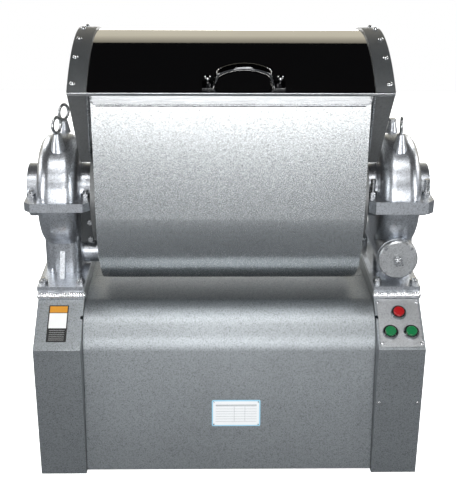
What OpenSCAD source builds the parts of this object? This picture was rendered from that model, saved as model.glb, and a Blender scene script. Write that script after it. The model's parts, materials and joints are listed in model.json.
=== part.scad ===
// Tilting drum dough mixer with a rotating hood, built from separate pieces.
// X runs to the right, Y to the back, Z up. The origin is on the floor under the middle.

/* [Stand] */
// Depth of the columns at the floor
stand_d = 480; // [470:10:540]
// Width of one column
column_w = 93.5; // [92:0.5:100]
// Height of the knee below each sloping shoulder
knee_h = 288; // [270:2:294]
// Height of the column tops
shelf_h = 356; // [350:1:360]
// Front to back size of each sloping shoulder
slope_d = 102; // [96:1:102]
// Sheet thickness of columns and panels
stand_t = 2.5; // [1.5:0.5:3]
// How far the centre panels stand back from the column fronts at the floor
panel_inset = 8; // [4:1:14]
// Backward lean of the centre panels in degrees
panel_lean = 6.5; // [4:0.5:8]
// Radius of the curve at the top of the centre panels
panel_r = 90; // [60:5:100]
// Height of the flat deck between the columns
deck_h = 345; // [335:1:350]
// Thickness of the mounting pad on each column
pad_t = 13; // [8:1:16]

/* [Housings] */
// Height of the trunnion axis above the floor
axis_h = 544; // [540:1:560]
// Width of each housing along the axis
housing_w = 82; // [80:1:86]
// How far the housings sit outside the column centres
housing_shift = 3.25; // [2.5:0.25:5]
// Radius of the round part of each housing
housing_r = 118; // [114:1:120]
// Rounding of the housing rims
housing_round = 28; // [20:1:32]
// Wall thickness of the castings
casting_t = 8; // [6:0.5:9]
// Radius of the bearing bosses
boss_r = 56; // [54:0.5:60]
// Reach of the outer bosses past the housings
boss_out = 27; // [22:1:30]
// Reach of the inner bosses towards the trough
boss_in = 37.5; // [35:0.5:38]
// Room between each trough end and the bearing boss beside it
trough_room = 8; // [6:0.5:12]
// Width of the left neck along the axis
neck_w = 76; // [72:1:78]
// Depth of both necks
neck_d = 130; // [120:2:140]
// Height of the straight neck above the foot flange
neck_h = 57; // [45:1:60]
// Width of the worm case under the right housing
case_w = 80; // [76:1:82]
// Thickness of the foot flanges
foot_t = 10; // [8:1:14]
// How far the foot flanges end before the sloping shoulders
foot_inset = 2.5; // [0:0.5:10]
// Thickness of one split flange on the left housing
split_left_t = 9; // [7:1:13]
// Thickness of one split flange on the right housing
split_right_t = 13; // [9:1:15]

/* [Trough] */
// Outer radius of the round bottom
trough_r = 185; // [180:1:187]
// Half length of the rolled skin
trough_half = 256; // [220:1:300]
// Thickness of the skin
skin_t = 3; // [2:0.5:4]
// Thickness of the end plates
end_t = 4; // [3:0.5:5]
// Height of the mouth above the axis
mouth_h = 249; // [220:1:250]
// Height of the folded rim
rim_h = 20; // [14:1:26]
// How far the rim stands out in front and behind
rim_out = 12; // [8:1:12]

/* [Lid] */
// Outer radius of the riveted bands
band_r = 333; // [333:1:340]
// Half of the angle that the hood covers
hood_angle = 39.7; // [36:0.1:42]
// Width of each riveted band
band_w = 35.5; // [30:0.5:36]
// Thickness of a band
band_t = 4; // [3:0.5:5]
// Thickness of the rolled hood sheet
hood_t = 2; // [1.5:0.5:2.5]
// Number of rivets in one band
rivet_count = 7; // [5:1:8]
// Rise of the bow handle above the sheet
handle_rise = 52; // [44:1:54]
// Span between the feet of the bow handle
handle_span = 112; // [100:2:130]
// Thickness of the handle strap
handle_bar_t = 7; // [5:0.5:8]
// Sideways place of the handle
handle_x = 22.5; // [-60:0.5:60]

/* [Agitator] */
// Radius of the agitator shaft
shaft_r = 22; // [18:0.5:23]
// Radius at which the kneading bars run
bar_circle_r = 152; // [130:1:156]
// Radius of a kneading bar
bar_r = 14; // [10:0.5:16]
// Number of kneading bars
bar_count = 3; // [2:1:4]
// Angle by which each bar is skewed between its ends
bar_skew = 40; // [0:5:60]

/* [Drive] */
// Tooth module of both gear sets
tooth_m = 4; // [3.8:0.1:4]
// Teeth of the main gear
gear_teeth = 48; // [48:4:48]
// Teeth of the pinion
pinion_teeth = 20; // [20:4:20]
// Teeth of the worm wheel
wheel_teeth = 44; // [44:4:44]
// Pitch radius of the worm
worm_r = 26; // [25:0.5:27]
// Height of the gearbox shaft above the floor
drive_h = 150; // [140:5:160]
// Height of the tilt motor above the floor
tilt_h = 130; // [125:1:140]

/* [Controls] */
// Outer radius of a button bezel
bezel_r = 16; // [14:0.5:17]
// Radius of a button face
button_r = 10.8; // [9.5:0.1:11]
// Travel of a button
button_travel = 3; // [2:0.5:4]
// Distance between the two lower buttons
button_gap = 42; // [38:1:46]

/* [Hidden] */
$fn = 64;

// Shared clearances and overruns
fit = 0.05;
seat = 0.15;
gap = 0.3;
over = 5;
overrun = 40;

// Stand, as wide as the trough and the housings beside it need
stand_w = 2 * (trough_half + end_t + trough_room + boss_in + housing_w / 2 - housing_shift + column_w / 2);
column_in = stand_w / 2 - column_w;
column_mid = stand_w / 2 - column_w / 2;
slope_y = stand_d / 2 - slope_d;
slope_angle = atan2(shelf_h - knee_h, slope_d);
toe_h = 4;
toe_y = stand_d / 2 - panel_inset;
curve_h = deck_h - panel_r + panel_r * sin(panel_lean);
curve_y = toe_y - (curve_h - toe_h) * tan(panel_lean);
curve_mid_y = curve_y - panel_r * cos(panel_lean);
panel_half = column_in - gap;
curve_steps = 40;
window_d = 360;
window_low = 20;
window_top = 332;

// Base frame and bed
bar_t = 5;
bar_h = 50;
frame_inset = 8.5;
frame_y = toe_y - frame_inset;
bed_t = 8;
bed_d = 300;
bed_end = 12;
bed_clear = 2;
cross_xs_share = [-0.78, -0.3, 0.34, 0.94];

// Housings, measured along the axis from the machine's middle
house_mid = column_mid + housing_shift;
house_in = house_mid - housing_w / 2;
house_out = house_mid + housing_w / 2;
boss_end_in = house_in - boss_in;
boss_end_out = house_out + boss_out;
foot_h = shelf_h + pad_t;
neck_base = foot_h + foot_t;
neck_top = neck_base + neck_h;
neck_join = axis_h - sqrt(pow(housing_r, 2) - pow(neck_d / 2, 2)) + 2 * over;
foot_over = 2;
foot_d = 2 * (slope_y - foot_inset);
taper_top = 14;
neck_round = 24;
split_in = 25.25;
split_out = 23.75;
split_d = 244;
ear_d = 198;
ear_cut = 13;
bore_in_r = 48;
bore_out_r = 45;
eye_y = 52;
cone_low_r = 16;
cone_top_r = 7.5;
cone_h = 36;
cone_top_z = 133;
eye_r = 15.5;
eye_bar_r = 3.4;
eye_stem_r = 4.5;
eye_turns = [[-1, -1, 67], [-1, 1, 60], [1, -1, 80]];
plug_r = 8;
plug_h = 6;
stud_r = 5;
nut_r = 9;
nut_h = 8;
nut_room = 60;
split_stud_y = 78;
split_stud_inset = 11;
split_stud_xs = [house_in - split_in + split_stud_inset, house_out + split_out - split_stud_inset];
stud_left_up = 14;
stud_right_up = 34;
rib_t = 10;
rib_reach = 30;
rib_h = 50;
foot_bolt_x = 38;
foot_bolt_inset = 18.5;
foot_bolt_y = foot_d / 2 - foot_bolt_inset;

// Gearing in the left housing
gear_r = tooth_m * gear_teeth / 2;
pinion_r = tooth_m * pinion_teeth / 2;
pinion_h = axis_h - gear_r - pinion_r;
neck_in = house_mid - neck_w / 2;
neck_out = house_mid + neck_w / 2;
gear_w = 18;
gear_side = 9;
gear_in = neck_in + casting_t + gear_side;
pinion_shaft_r = 12;
pinion_boss_r = 27;
pinion_boss_in = 31;
pinion_bearing_r = 20;
pinion_bearing_w = 12;
belt_w = 7;
belt_t = 5;
belt_pitch = 9.4;
pulley_w = 20;
pulley_side = 3;
pulley_in = gear_in + gear_w + pulley_side;
pulley_r = 42;
groove_d = 6;
box_pulley_r = 34;
box_shaft_r = 14;
tooth_slack = 0.12;
lead = PI * tooth_m;
tooth_w = lead / 2 - tooth_slack * tooth_m;

// Motor and gearbox in the base, the gearbox on the left
box_end = 285;
box_len = 110;
box_r = 62;
motor_r = 66;
motor_len = 190;
fan_len = 46;
fin_d = 7;
fin_count = 24;
foot_w = 100;

// Worm set in the right housing
wheel_r = tooth_m * wheel_teeth / 2;
wheel_w = 14;
worm_h = axis_h - wheel_r - worm_r;
wheel_shift = 1.25;
worm_x = house_mid - wheel_shift;
wheel_hub_w = 4;
worm_turns = 6;
worm_len = worm_turns * lead;
thread_w = 4.6;
worm_phase = 90;
case_bore_r = 33;
case_tube_r = 41;
case_half = 104;
case_collar = 1;
journal_r = 14;
worm_bearing_w = 12;
cap_t = 14;
cap_edge = 3;
cap_bolt_circle = 37;
cap_bolt_r = 2;
cap_bolt_angles = [45, 135, 225, 315];
tilt_pulley_r = 25;
tilt_pulley_w = 14;
belt_past = 14;
tilt_belt_y = max(slope_y, case_half) + belt_past;
tilt_belt_w = 8;
tilt_lean = 21;
tilt_x = worm_x - tilt_lean;
tilt_motor_r = 58;
tilt_motor_len = 190;

// Sheet cover over the worm pulley
guard_w = 74;
guard_t = 2.5;
guard_near = 4;
guard_far = 8;
guard_slot_w = 66;
guard_y0 = tilt_belt_y - tilt_pulley_w / 2 - guard_near;
guard_y1 = tilt_belt_y + tilt_pulley_w + guard_far;

// Trough
end_out = trough_half + end_t;
sleeve_r = 42;
sleeve_bore_r = 26;
end_hub_r = 72;
end_hub_t = 4;
sleeve_reach = 14;
sleeve_left = house_in + sleeve_reach;
sleeve_right = worm_x + wheel_w / 2 + wheel_hub_w;
rim_over = 0.5;
rim_end = end_out + rim_over;
rim_round = 6;
rim_corner = 9;
rim_t = 2.5;
seal_w = 8;

// Lid, measured along the axis and along the radius
lid_side = 6.05;
band_out = house_in - lid_side;
band_in = band_out - band_w;
sheet_r = band_r - band_t - gap;
rim_flange_t = 5;
web_low_r = 102;
web_depth = 24.35;
web_low_x = house_in - web_depth;
web_t = 5;
side_t = 3.6;
hub_side = 1.6;
hub_in = boss_end_in + hub_side;
hub_far_side = 1;
hub_clear = 1;
hub_out = house_in - split_in - hub_far_side;
hub_r = gear_r + pinion_r - pinion_boss_r - hub_clear;
bush_t = 6;
edge_t = 3;
edge_d = 8;
flange_t = 4;
rivet_r = 3;
rivet_head_r = 5.2;
rivet_dome_r = 5.8;
rivet_inset = 10;
rivet_x = band_out - rivet_inset;
rivet_end_angle = 3.2;
handle_angle = 36.5;
handle_bar_w = 15;
handle_foot_l = 20;
handle_foot_w = 18;
handle_foot_t = 4;
arch_angle = 36;
bend_r = 12;
leg_lean = 15;
bend_z = handle_rise - bend_r * (cos(arch_angle) - sin(leg_lean));
bend_x = bend_r * (cos(leg_lean) - sin(arch_angle));
arch_r = (handle_span / 2 - bend_x - bend_z * tan(leg_lean))
  / (sin(arch_angle) - (1 - cos(arch_angle)) * tan(leg_lean));
arch_drop = arch_r * (1 - cos(arch_angle));
post_r = 3.5;
post_h = 20;
post_x = handle_span / 2 + handle_foot_l / 2;

// Agitator
spider_inset = 30;
spider_x = trough_half - spider_inset;
spider_t = 16;
spider_hub_r = 40;
arm_w = 30;
arm_end_r = 22;

// Buttons on the right shoulder, s is measured up the slope from the knee
plate_t = 2;
plate_in = 5;
plate_s0 = 6;
plate_s1 = 117;
screw_s0 = 13.5;
screw_s1 = 109.5;
screw_x = 39.5;
stop_s = 84;
start_s = 38.5;
barrel_r = 11;
stem_r = 7.8;
stem_bore_r = 8.1;
bezel_h = 6;
button_up = 9;
button_edge = 1;
barrel_len = 24;
block_w = 28;
block_h = 24;
lock_r = 15;
lock_t = 4;

// Screws, vents and the cable gland of the sheet panels
plate_screw_r = 2.4;
plate_screw_head_r = 4.6;
plate_screw_head_t = 2.2;
column_screw_h = 166;
rear_screw_in = 14;
louvre_w = 120;
louvre_step = 22;
louvre_rows = 7;
louvre_x = 110;
louvre_s = 70;
louvre_h = 6;
gland_x = 200;
gland_s = 76;
gland_r = 9;

// Points of an arc
function arc(c, r, a0, a1, n) =
  [for (i = [0:n]) let (a = a0 + (a1 - a0) * i / n) [c[0] + r * cos(a), c[1] + r * sin(a)]];

// A 2D shape drawn in Y and Z, drawn out along X
module span_x(x0, x1) translate([x0, 0, 0]) rotate([90, 0, 90]) linear_extrude(x1 - x0) children();
// A 2D shape drawn in X and Z, drawn out along Y
module span_y(y0, y1) translate([0, y1, 0]) rotate([90, 0, 0]) linear_extrude(y1 - y0) children();
// A profile of radius and length, turned about the X axis
module turn_x() rotate([0, 90, 0]) rotate_extrude($fn = 96) children();
module rod_x(x0, x1, r) translate([x0, 0, 0]) rotate([0, 90, 0]) cylinder(h = x1 - x0, r = r);
module rod_y(y0, y1, r) translate([0, y0, 0]) rotate([-90, 0, 0]) cylinder(h = y1 - y0, r = r);
module ring_x(x0, x1, r1, r0) difference() {
  rod_x(x0, x1, r1);
  rod_x(x0 - over, x1 + over, r0);
}
module ring_y(y0, y1, r1, r0) difference() {
  rod_y(y0, y1, r1);
  rod_y(y0 - over, y1 + over, r0);
}
// A box given by its two corners
module block(a, b) translate(a) cube([b[0] - a[0], b[1] - a[1], b[2] - a[2]]);
module on_axis() translate([0, 0, axis_h]) children();
module flip_left() mirror([1, 0, 0]) children();
// The part of a ring between two angles, under half a turn
module ring_sector(r1, r0, a0, a1) intersection() {
  difference() {
    circle(r1, $fn = 128);
    circle(r0, $fn = 128);
  }
  polygon(concat([[0, 0]], arc([0, 0], 2 * r1, a0, a1, 4)));
}
// A frame on the right shoulder with Z standing off the sheet
module on_slope(x, s) translate([x, -stand_d / 2 + s * cos(slope_angle), knee_h + s * sin(slope_angle)])
  rotate([slope_angle, 0, 0]) children();
// A frame on the rear panel with Z standing off the sheet and Y down it
module on_rear(x, s) translate([x, toe_y - s * sin(panel_lean), toe_h + s * cos(panel_lean)])
  rotate([panel_lean - 90, 0, 0]) children();
// A frame on the lid at an angle forward of the top, with Z outwards
module on_lid(x, a, r) on_axis() rotate([a, 0, 0]) translate([x, 0, r]) children();

// Outline of a column seen from the side, inset by the sheet thickness t
function column_outline(t, floor_z) =
  let (d = stand_d / 2, k = t * cos(slope_angle) / (1 + sin(slope_angle)),
       m = t * sin(slope_angle) / (1 + cos(slope_angle)))
  [[-d + t, floor_z], [-d + t, knee_h - k], [-slope_y + m, shelf_h - t],
   [slope_y - m, shelf_h - t], [d - t, knee_h - k], [d - t, floor_z]];

// The rounded neck opening that the belts run through
module neck_hole(z0, z1) block([neck_in + casting_t, -neck_d / 2 + casting_t, z0],
  [neck_out - casting_t, neck_d / 2 - casting_t, z1]);

// One column with its pad, drawn on the right
module column_shell() {
  difference() {
    span_x(column_in, stand_w / 2) polygon(column_outline(0, 0));
    span_x(column_in + stand_t, stand_w / 2 - stand_t) polygon(column_outline(stand_t, -over));
    block([column_in - over, -window_d / 2, window_low], [column_in + over, window_d / 2, window_top]);
  }
  block([column_in, -slope_y, shelf_h - stand_t / 2], [stand_w / 2, slope_y, foot_h]);
}
module left_column() color("silver") flip_left() difference() {
  column_shell();
  neck_hole(shelf_h - over, foot_h + over);
  foot_bolt_places() cylinder(h = 2 * (pad_t + over), r = stud_r, center = true);
}
module right_column() color("silver") difference() {
  column_shell();
  foot_bolt_places() cylinder(h = 2 * (pad_t + over), r = stud_r, center = true);
  for (b = button_places()) on_slope(b[0], b[1])
    cylinder(h = 4 * stand_t, r = barrel_r + gap, center = true);
  for (p = plate_screw_places()) on_slope(p[0], p[1])
    cylinder(h = 4 * stand_t, r = plate_screw_r, center = true);
  for (x = [-screw_x, screw_x]) translate([column_mid + x, -stand_d / 2, column_screw_h])
    rod_y(-over, over, plate_screw_r);
  block([worm_x - guard_slot_w / 2, guard_y0 + guard_t, knee_h - over],
    [worm_x + guard_slot_w / 2, guard_y1 - guard_t, shelf_h - stand_t / 2]);
}

// Outline of the front panel seen from the side, which the rear one mirrors
module panel_outline() {
  c = [-curve_mid_y, deck_h - panel_r];
  polygon(concat([[-toe_y, toe_h]], arc(c, panel_r, 180 - panel_lean, 90, curve_steps),
    [[-gap / 2, deck_h], [-gap / 2, deck_h - stand_t]],
    arc(c, panel_r - stand_t, 90, 180 - panel_lean, curve_steps),
    [[-toe_y + stand_t * cos(panel_lean), toe_h - stand_t * sin(panel_lean)]]));
}
module front_panel() color("silver") span_x(-panel_half, panel_half) panel_outline();

// A pressed vent with its mouth facing down, over its slot
module louvre_hood() rotate([90, 0, 90]) linear_extrude(louvre_w, center = true)
  polygon([[-louvre_h, -stand_t / 2], [-louvre_h, 0], [louvre_h, louvre_h + stand_t / 2],
    [louvre_h, louvre_h - stand_t / 2], [-louvre_h + stand_t, -stand_t / 2]]);
module rear_panel() color("silver") {
  difference() {
    span_x(-panel_half, panel_half) mirror([1, 0]) panel_outline();
    for (x = [-louvre_x, louvre_x], i = [0:louvre_rows - 1]) on_rear(x, louvre_s + i * louvre_step)
      cube([louvre_w, louvre_h, 4 * stand_t], center = true);
    on_rear(-gland_x, gland_s) cylinder(h = 4 * stand_t, r = gland_r + gap, center = true);
    for (p = rear_screw_places()) on_rear(p[0], p[1])
      cylinder(h = 4 * stand_t, r = plate_screw_r, center = true);
  }
  for (x = [-louvre_x, louvre_x], i = [0:louvre_rows - 1])
    on_rear(x, louvre_s + i * louvre_step) louvre_hood();
}

// Welded angle frame between the columns with cross bars
module base_frame() color("dimgray") {
  for (s = [-1, 1]) {
    block([-panel_half, min(s * frame_y, s * (frame_y - bar_t)), 0],
      [panel_half, max(s * frame_y, s * (frame_y - bar_t)), bar_h]);
    block([-panel_half, min(s * frame_y, s * (frame_y - bar_h)), 0],
      [panel_half, max(s * frame_y, s * (frame_y - bar_h)), bar_t]);
  }
  for (k = cross_xs_share) translate([k * panel_half, 0, bar_h / 2])
    cube([2 * bar_t, 2 * (frame_y - bar_t / 2), bar_h], center = true);
}
module machine_bed() color("dimgray")
  block([-panel_half + bed_end, -bed_d / 2, bar_h],
    [stand_w / 2 - stand_t - bed_clear, bed_d / 2, bar_h + bed_t]);

// Round body of a housing, with rounded rims
module round_body(r, w, f) turn_x() {
  translate([0, -w / 2]) square([r - f, w]);
  translate([0, -w / 2 + f]) square([r, w - 2 * f]);
  for (s = [-1, 1]) translate([r - f, s * (w / 2 - f)]) circle(f);
}
// The side view that narrows a lower housing to its neck of width w
module taper_outline(w, t) {
  z0 = neck_top - axis_h;
  z1 = -taper_top;
  wide = housing_w / 2 - t;
  thin = w / 2 - t;
  polygon([[-wide, overrun], [-wide, z1], [-thin, z0], [-thin, -2 * housing_r],
    [thin, -2 * housing_r], [thin, z0], [wide, z1], [wide, overrun]]);
}
module half_space(up, r) translate([0, 0, up ? r : -r]) cube([4 * r, 4 * r, 2 * r], center = true);
// A lower housing without bores: w is its neck width
module lower_body(w, r, t) intersection() {
  round_body(r, housing_w - 2 * t, housing_round - t);
  span_y(-2 * r, 2 * r) taper_outline(w, t);
  half_space(false, 2 * r);
}
// A post with rounded upright corners
module round_post(w, d, f, z0, z1) translate([0, 0, z0]) linear_extrude(z1 - z0) {
  square([w - 2 * f, d], center = true);
  square([w, d - 2 * f], center = true);
  for (sx = [-1, 1], sy = [-1, 1]) translate([sx * (w / 2 - f), sy * (d / 2 - f)]) circle(f);
}
// Plan of the split flange, with shorter ears at the rear where the hood swings past
module split_plan() difference() {
  union() {
    translate([house_in, -split_d / 2]) square([housing_w + split_out / 2, split_d]);
    translate([house_in - split_in, -split_d / 2])
      square([split_in + housing_w + split_out, (split_d + ear_d) / 2]);
  }
  for (q = [[house_out + split_out, -split_d / 2], [house_in - split_in, -split_d / 2],
    [house_out + split_out, ear_d / 2], [house_out + split_out / 2, split_d / 2],
    [house_in, split_d / 2]])
    translate(q) rotate(45) square(ear_cut * sqrt(2), center = true);
}
module split_flange(z0, z1) translate([0, 0, z0]) linear_extrude(z1 - z0) split_plan();
module boss_halves(up) intersection() {
  rod_x(boss_end_in, boss_end_out, boss_r);
  half_space(up, 2 * housing_r + boss_end_out);
}
// Everything that is bored on the trunnion axis
module axis_bores() {
  rod_x(boss_end_in - over, house_mid, bore_in_r);
  rod_x(house_mid, house_out + boss_out - casting_t, bore_out_r);
}
// Stud holes of a split flange of thickness t, with room for the nuts above or below it
module stud_holes(t, up) for (x = split_stud_xs, y = [-split_stud_y, split_stud_y]) translate([x, y, 0]) {
  cylinder(h = 2 * t + over, r = stud_r + gap, center = true);
  translate([0, 0, up ? t : -t - nut_room]) cylinder(h = nut_room, r = nut_r + gap);
}
module foot_bolt_places() for (x = [-foot_bolt_x, foot_bolt_x], s = [-1, 1])
  translate([column_mid + x, s * foot_bolt_y, foot_h]) children();
module foot_flange() difference() {
  block([column_in, -foot_d / 2, foot_h], [stand_w / 2 + foot_over, foot_d / 2, neck_base]);
  foot_bolt_places() cylinder(h = 3 * foot_t, r = stud_r + gap, center = true);
}

// The cast cap of a housing, drawn on the right
module housing_cap(split_t) on_axis() difference() {
  union() {
    intersection() {
      translate([house_mid, 0, 0]) round_body(housing_r, housing_w, housing_round);
      half_space(true, 2 * housing_r + boss_end_out);
    }
    boss_halves(true);
    split_flange(0, split_t);
    for (s = [-1, 1]) translate([worm_x, s * eye_y, cone_top_z - cone_h])
      cylinder(h = cone_h, r1 = cone_low_r, r2 = cone_top_r);
  }
  translate([house_mid, 0, 0])
    round_body(housing_r - casting_t, housing_w - 2 * casting_t, housing_round - casting_t);
  axis_bores();
  stud_holes(split_t, true);
  for (s = [-1, 1]) translate([worm_x, s * eye_y, cone_top_z - cone_h / 2])
    cylinder(h = cone_h, r = eye_stem_r + seat);
}
module left_housing_cap() color("silver") flip_left() housing_cap(split_left_t);
module right_housing_cap() color("silver") housing_cap(split_right_t);

module left_housing() color("silver") flip_left() difference() {
  union() {
    on_axis() {
      translate([house_mid, 0, 0]) lower_body(neck_w, housing_r, 0);
      boss_halves(false);
      split_flange(-split_left_t, 0);
    }
    translate([house_mid, 0, 0]) round_post(neck_w, neck_d, neck_round, foot_h, neck_join);
    translate([0, 0, pinion_h]) rod_x(neck_in - pinion_boss_in, neck_in + casting_t, pinion_boss_r);
    foot_flange();
    for (s = [-1, 1]) span_x(house_mid - rib_t / 2, house_mid + rib_t / 2)
      polygon([[s * (neck_d / 2 - over), neck_base], [s * (neck_d / 2 + rib_reach), neck_base],
        [s * neck_d / 2, neck_base + rib_h], [s * (neck_d / 2 - over), neck_base + rib_h]]);
  }
  on_axis() {
    translate([house_mid, 0, 0]) lower_body(neck_w, housing_r - casting_t, casting_t);
    axis_bores();
    stud_holes(split_left_t, false);
  }
  neck_hole(foot_h - over, axis_h - housing_r + casting_t + neck_round);
  translate([0, 0, pinion_h]) {
    rod_x(neck_in - pinion_boss_in + casting_t, neck_in + 2 * casting_t, pinion_bearing_r + seat);
    rod_x(neck_out - 2 * casting_t, neck_out - casting_t / 2, pinion_bearing_r + seat);
  }
}

module right_housing() color("silver") difference() {
  union() {
    on_axis() {
      translate([house_mid, 0, 0]) lower_body(case_w, housing_r, 0);
      boss_halves(false);
      split_flange(-split_right_t, 0);
    }
    translate([house_mid, 0, 0]) round_post(case_w, neck_d, neck_round, foot_h, neck_join);
    translate([worm_x, 0, worm_h]) {
      rod_y(-case_half, case_half, case_tube_r);
      for (s = [-1, 1]) translate([0, s * (case_half - cap_t / 2), 0])
        rod_y(-cap_t / 2, cap_t / 2, case_tube_r + case_collar);
    }
    foot_flange();
  }
  on_axis() {
    translate([house_mid, 0, 0]) lower_body(case_w, wheel_r + 2 * tooth_m + 2 * stand_t, casting_t);
    axis_bores();
    stud_holes(split_right_t, false);
  }
  translate([worm_x, 0, worm_h]) {
    rod_y(-case_half - over, case_half - casting_t, case_bore_r);
    rod_y(0, case_half + over, journal_r + 2 * gap);
    for (a = cap_bolt_angles) rotate([0, a, 0]) translate([cap_bolt_circle, 0, 0])
      rod_y(-case_half - over, -case_half + cap_t, cap_bolt_r + gap);
  }
}

// Round end cap of the worm case with its centre plug
module worm_cap() color("lightgray") translate([worm_x, -case_half - cap_t, worm_h]) {
  difference() {
    union() {
      translate([0, cap_edge, 0]) rod_y(0, cap_t - cap_edge, case_tube_r);
      rotate([-90, 0, 0]) cylinder(h = cap_edge, r1 = case_tube_r - cap_edge, r2 = case_tube_r);
    }
    for (a = cap_bolt_angles) rotate([0, a, 0]) translate([cap_bolt_circle, 0, 0])
      rod_y(-over, cap_t + over, cap_bolt_r + gap);
  }
  translate([0, -cap_t / 4, 0]) rod_y(0, cap_t / 2, cap_t / 2);
  translate([0, -cap_t / 2, 0]) rotate([90, 0, 0])
    cylinder(h = cap_t / 2, r = cap_t / 2 - cap_edge / 3, $fn = 6, center = true);
}
module worm_cap_bolts() color("gainsboro") translate([worm_x, -case_half - cap_t, worm_h])
  for (a = cap_bolt_angles) rotate([0, a, 0]) translate([cap_bolt_circle, 0, 0]) {
    rod_y(-gap / 2, cap_t + cap_t / 2, cap_bolt_r);
    rotate([90, 0, 0]) cylinder(h = cap_edge, r = 2 * cap_bolt_r, $fn = 6);
  }

// Lifting eyes, each turned as its thread stopped
module eye_bolts() color("gainsboro") for (e = eye_turns)
  translate([e[0] * worm_x, e[1] * eye_y, axis_h + cone_top_z]) rotate([0, 0, e[2]]) {
    translate([0, 0, eye_r + eye_bar_r]) rotate([90, 0, 0])
      rotate_extrude() translate([eye_r, 0]) circle(eye_bar_r, $fn = 24);
    translate([0, 0, -cone_h / 3]) cylinder(h = cone_h / 3 + eye_bar_r, r = eye_stem_r);
    cylinder(h = eye_bar_r / 2, r = cone_top_r);
  }
// Breather plug on the rear cone of the right cap
module breather_plug() color("gainsboro") translate([worm_x, eye_y, axis_h + cone_top_z]) {
  translate([0, 0, -cone_h / 3]) cylinder(h = cone_h / 3 + plug_h, r = eye_stem_r);
  cylinder(h = plug_h, r = plug_r, $fn = 6);
}

// Studs and nuts of the split flanges
module split_stud(x, y, t, up) translate([x, y, axis_h]) {
  translate([0, 0, -t - nut_h]) cylinder(h = 2 * t + up + nut_h, r = stud_r);
  for (z = [-t - nut_h, t]) translate([0, 0, z]) cylinder(h = nut_h, r = nut_r, $fn = 6);
}
module split_bolts() color("gainsboro") for (s = [-1, 1]) {
  t = s < 0 ? split_left_t : split_right_t;
  up = s < 0 ? stud_left_up : stud_right_up;
  for (x = split_stud_xs, y = [-split_stud_y, split_stud_y]) split_stud(s * x, y, t, up);
}
module foot_bolts() color("gainsboro") for (s = [0, 1]) mirror([s, 0, 0]) foot_bolt_places() {
  translate([0, 0, foot_t]) cylinder(h = nut_h, r = nut_r, $fn = 6);
  translate([0, 0, -pad_t]) cylinder(h = pad_t + foot_t + nut_h + over, r = stud_r - seat);
}

// Places on the right shoulder
function button_places() = [[column_mid, stop_s], [column_mid - button_gap / 2, start_s],
  [column_mid + button_gap / 2, start_s]];
function plate_screw_places() =
  [for (x = [-screw_x, screw_x], s = [screw_s0, screw_s1]) [column_mid + x, s]];
function rear_screw_places() = [for (x = [-1, 1], s = [0.1, 0.5, 0.9])
  [x * (panel_half - rear_screw_in), s * (curve_h - toe_h)]];

module control_plate() color("lightgray") on_slope(column_mid, 0) difference() {
  block([-column_w / 2 + plate_in, plate_s0, 0], [column_w / 2 - plate_in, plate_s1, plate_t]);
  for (b = button_places()) translate([b[0] - column_mid, b[1], 0])
    cylinder(h = 4 * plate_t, r = barrel_r + gap, center = true);
  for (p = plate_screw_places()) translate([p[0] - column_mid, p[1], 0])
    cylinder(h = 4 * plate_t, r = plate_screw_r + seat, center = true);
}
// A pan-head screw standing just clear of Z = 0
module pan_screw(len) {
  translate([0, 0, -len]) cylinder(h = len + 2 * fit, r = plate_screw_r - seat);
  translate([0, 0, fit])
    cylinder(h = plate_screw_head_t, r1 = plate_screw_head_r, r2 = plate_screw_head_r * 0.7);
}
module plate_screws() color("gainsboro")
  for (p = plate_screw_places()) on_slope(p[0], p[1])
    translate([0, 0, plate_t]) pan_screw(3 * plate_screw_head_t);
module panel_screws() color("gainsboro") {
  for (x = [-screw_x, screw_x]) translate([column_mid + x, -stand_d / 2, column_screw_h])
    rotate([90, 0, 0]) pan_screw(2 * plate_screw_head_t);
  for (p = rear_screw_places()) on_rear(p[0], p[1]) pan_screw(2 * plate_screw_head_t);
}

module button_bezels() color("gainsboro") for (b = button_places()) on_slope(b[0], b[1])
  translate([0, 0, plate_t]) difference() {
    union() {
      cylinder(h = bezel_h * 0.6, r = bezel_r);
      translate([0, 0, bezel_h * 0.6])
        cylinder(h = bezel_h * 0.4, r1 = bezel_r, r2 = bezel_r - bezel_h * 0.3);
      translate([0, 0, -barrel_len]) cylinder(h = barrel_len + bezel_h / 2, r = barrel_r);
    }
    translate([0, 0, bezel_h * 0.16]) cylinder(h = bezel_h, r = button_r + 2 * gap);
    translate([0, 0, -barrel_len - over]) cylinder(h = barrel_len + 2 * over, r = stem_bore_r);
  }
module button_bodies() color("dimgray") for (b = button_places()) on_slope(b[0], b[1]) {
  translate([0, 0, plate_t - barrel_len - block_h / 2]) cube([block_w, block_w, block_h], center = true);
  difference() {
    translate([0, 0, -stand_t - lock_t - fit]) cylinder(h = lock_t, r = lock_r);
    translate([0, 0, -stand_t - 2 * lock_t]) cylinder(h = 3 * lock_t, r = barrel_r + seat);
  }
}
// A push button: face and stem
module push_button(b) on_slope(b[0], b[1]) translate([0, 0, plate_t]) {
  face_z = button_travel + bezel_h * 0.2;
  translate([0, 0, face_z]) cylinder(h = button_up - face_z - button_edge, r = button_r);
  translate([0, 0, button_up - button_edge])
    cylinder(h = button_edge, r1 = button_r, r2 = button_r - button_edge);
  translate([0, 0, -barrel_len + button_travel + gap]) cylinder(h = barrel_len + bezel_h * 0.3, r = stem_r);
}
module stop_button() color("crimson") push_button(button_places()[0]);
module start_button() color("seagreen") push_button(button_places()[1]);
module tilt_button() color("seagreen") push_button(button_places()[2]);

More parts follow.
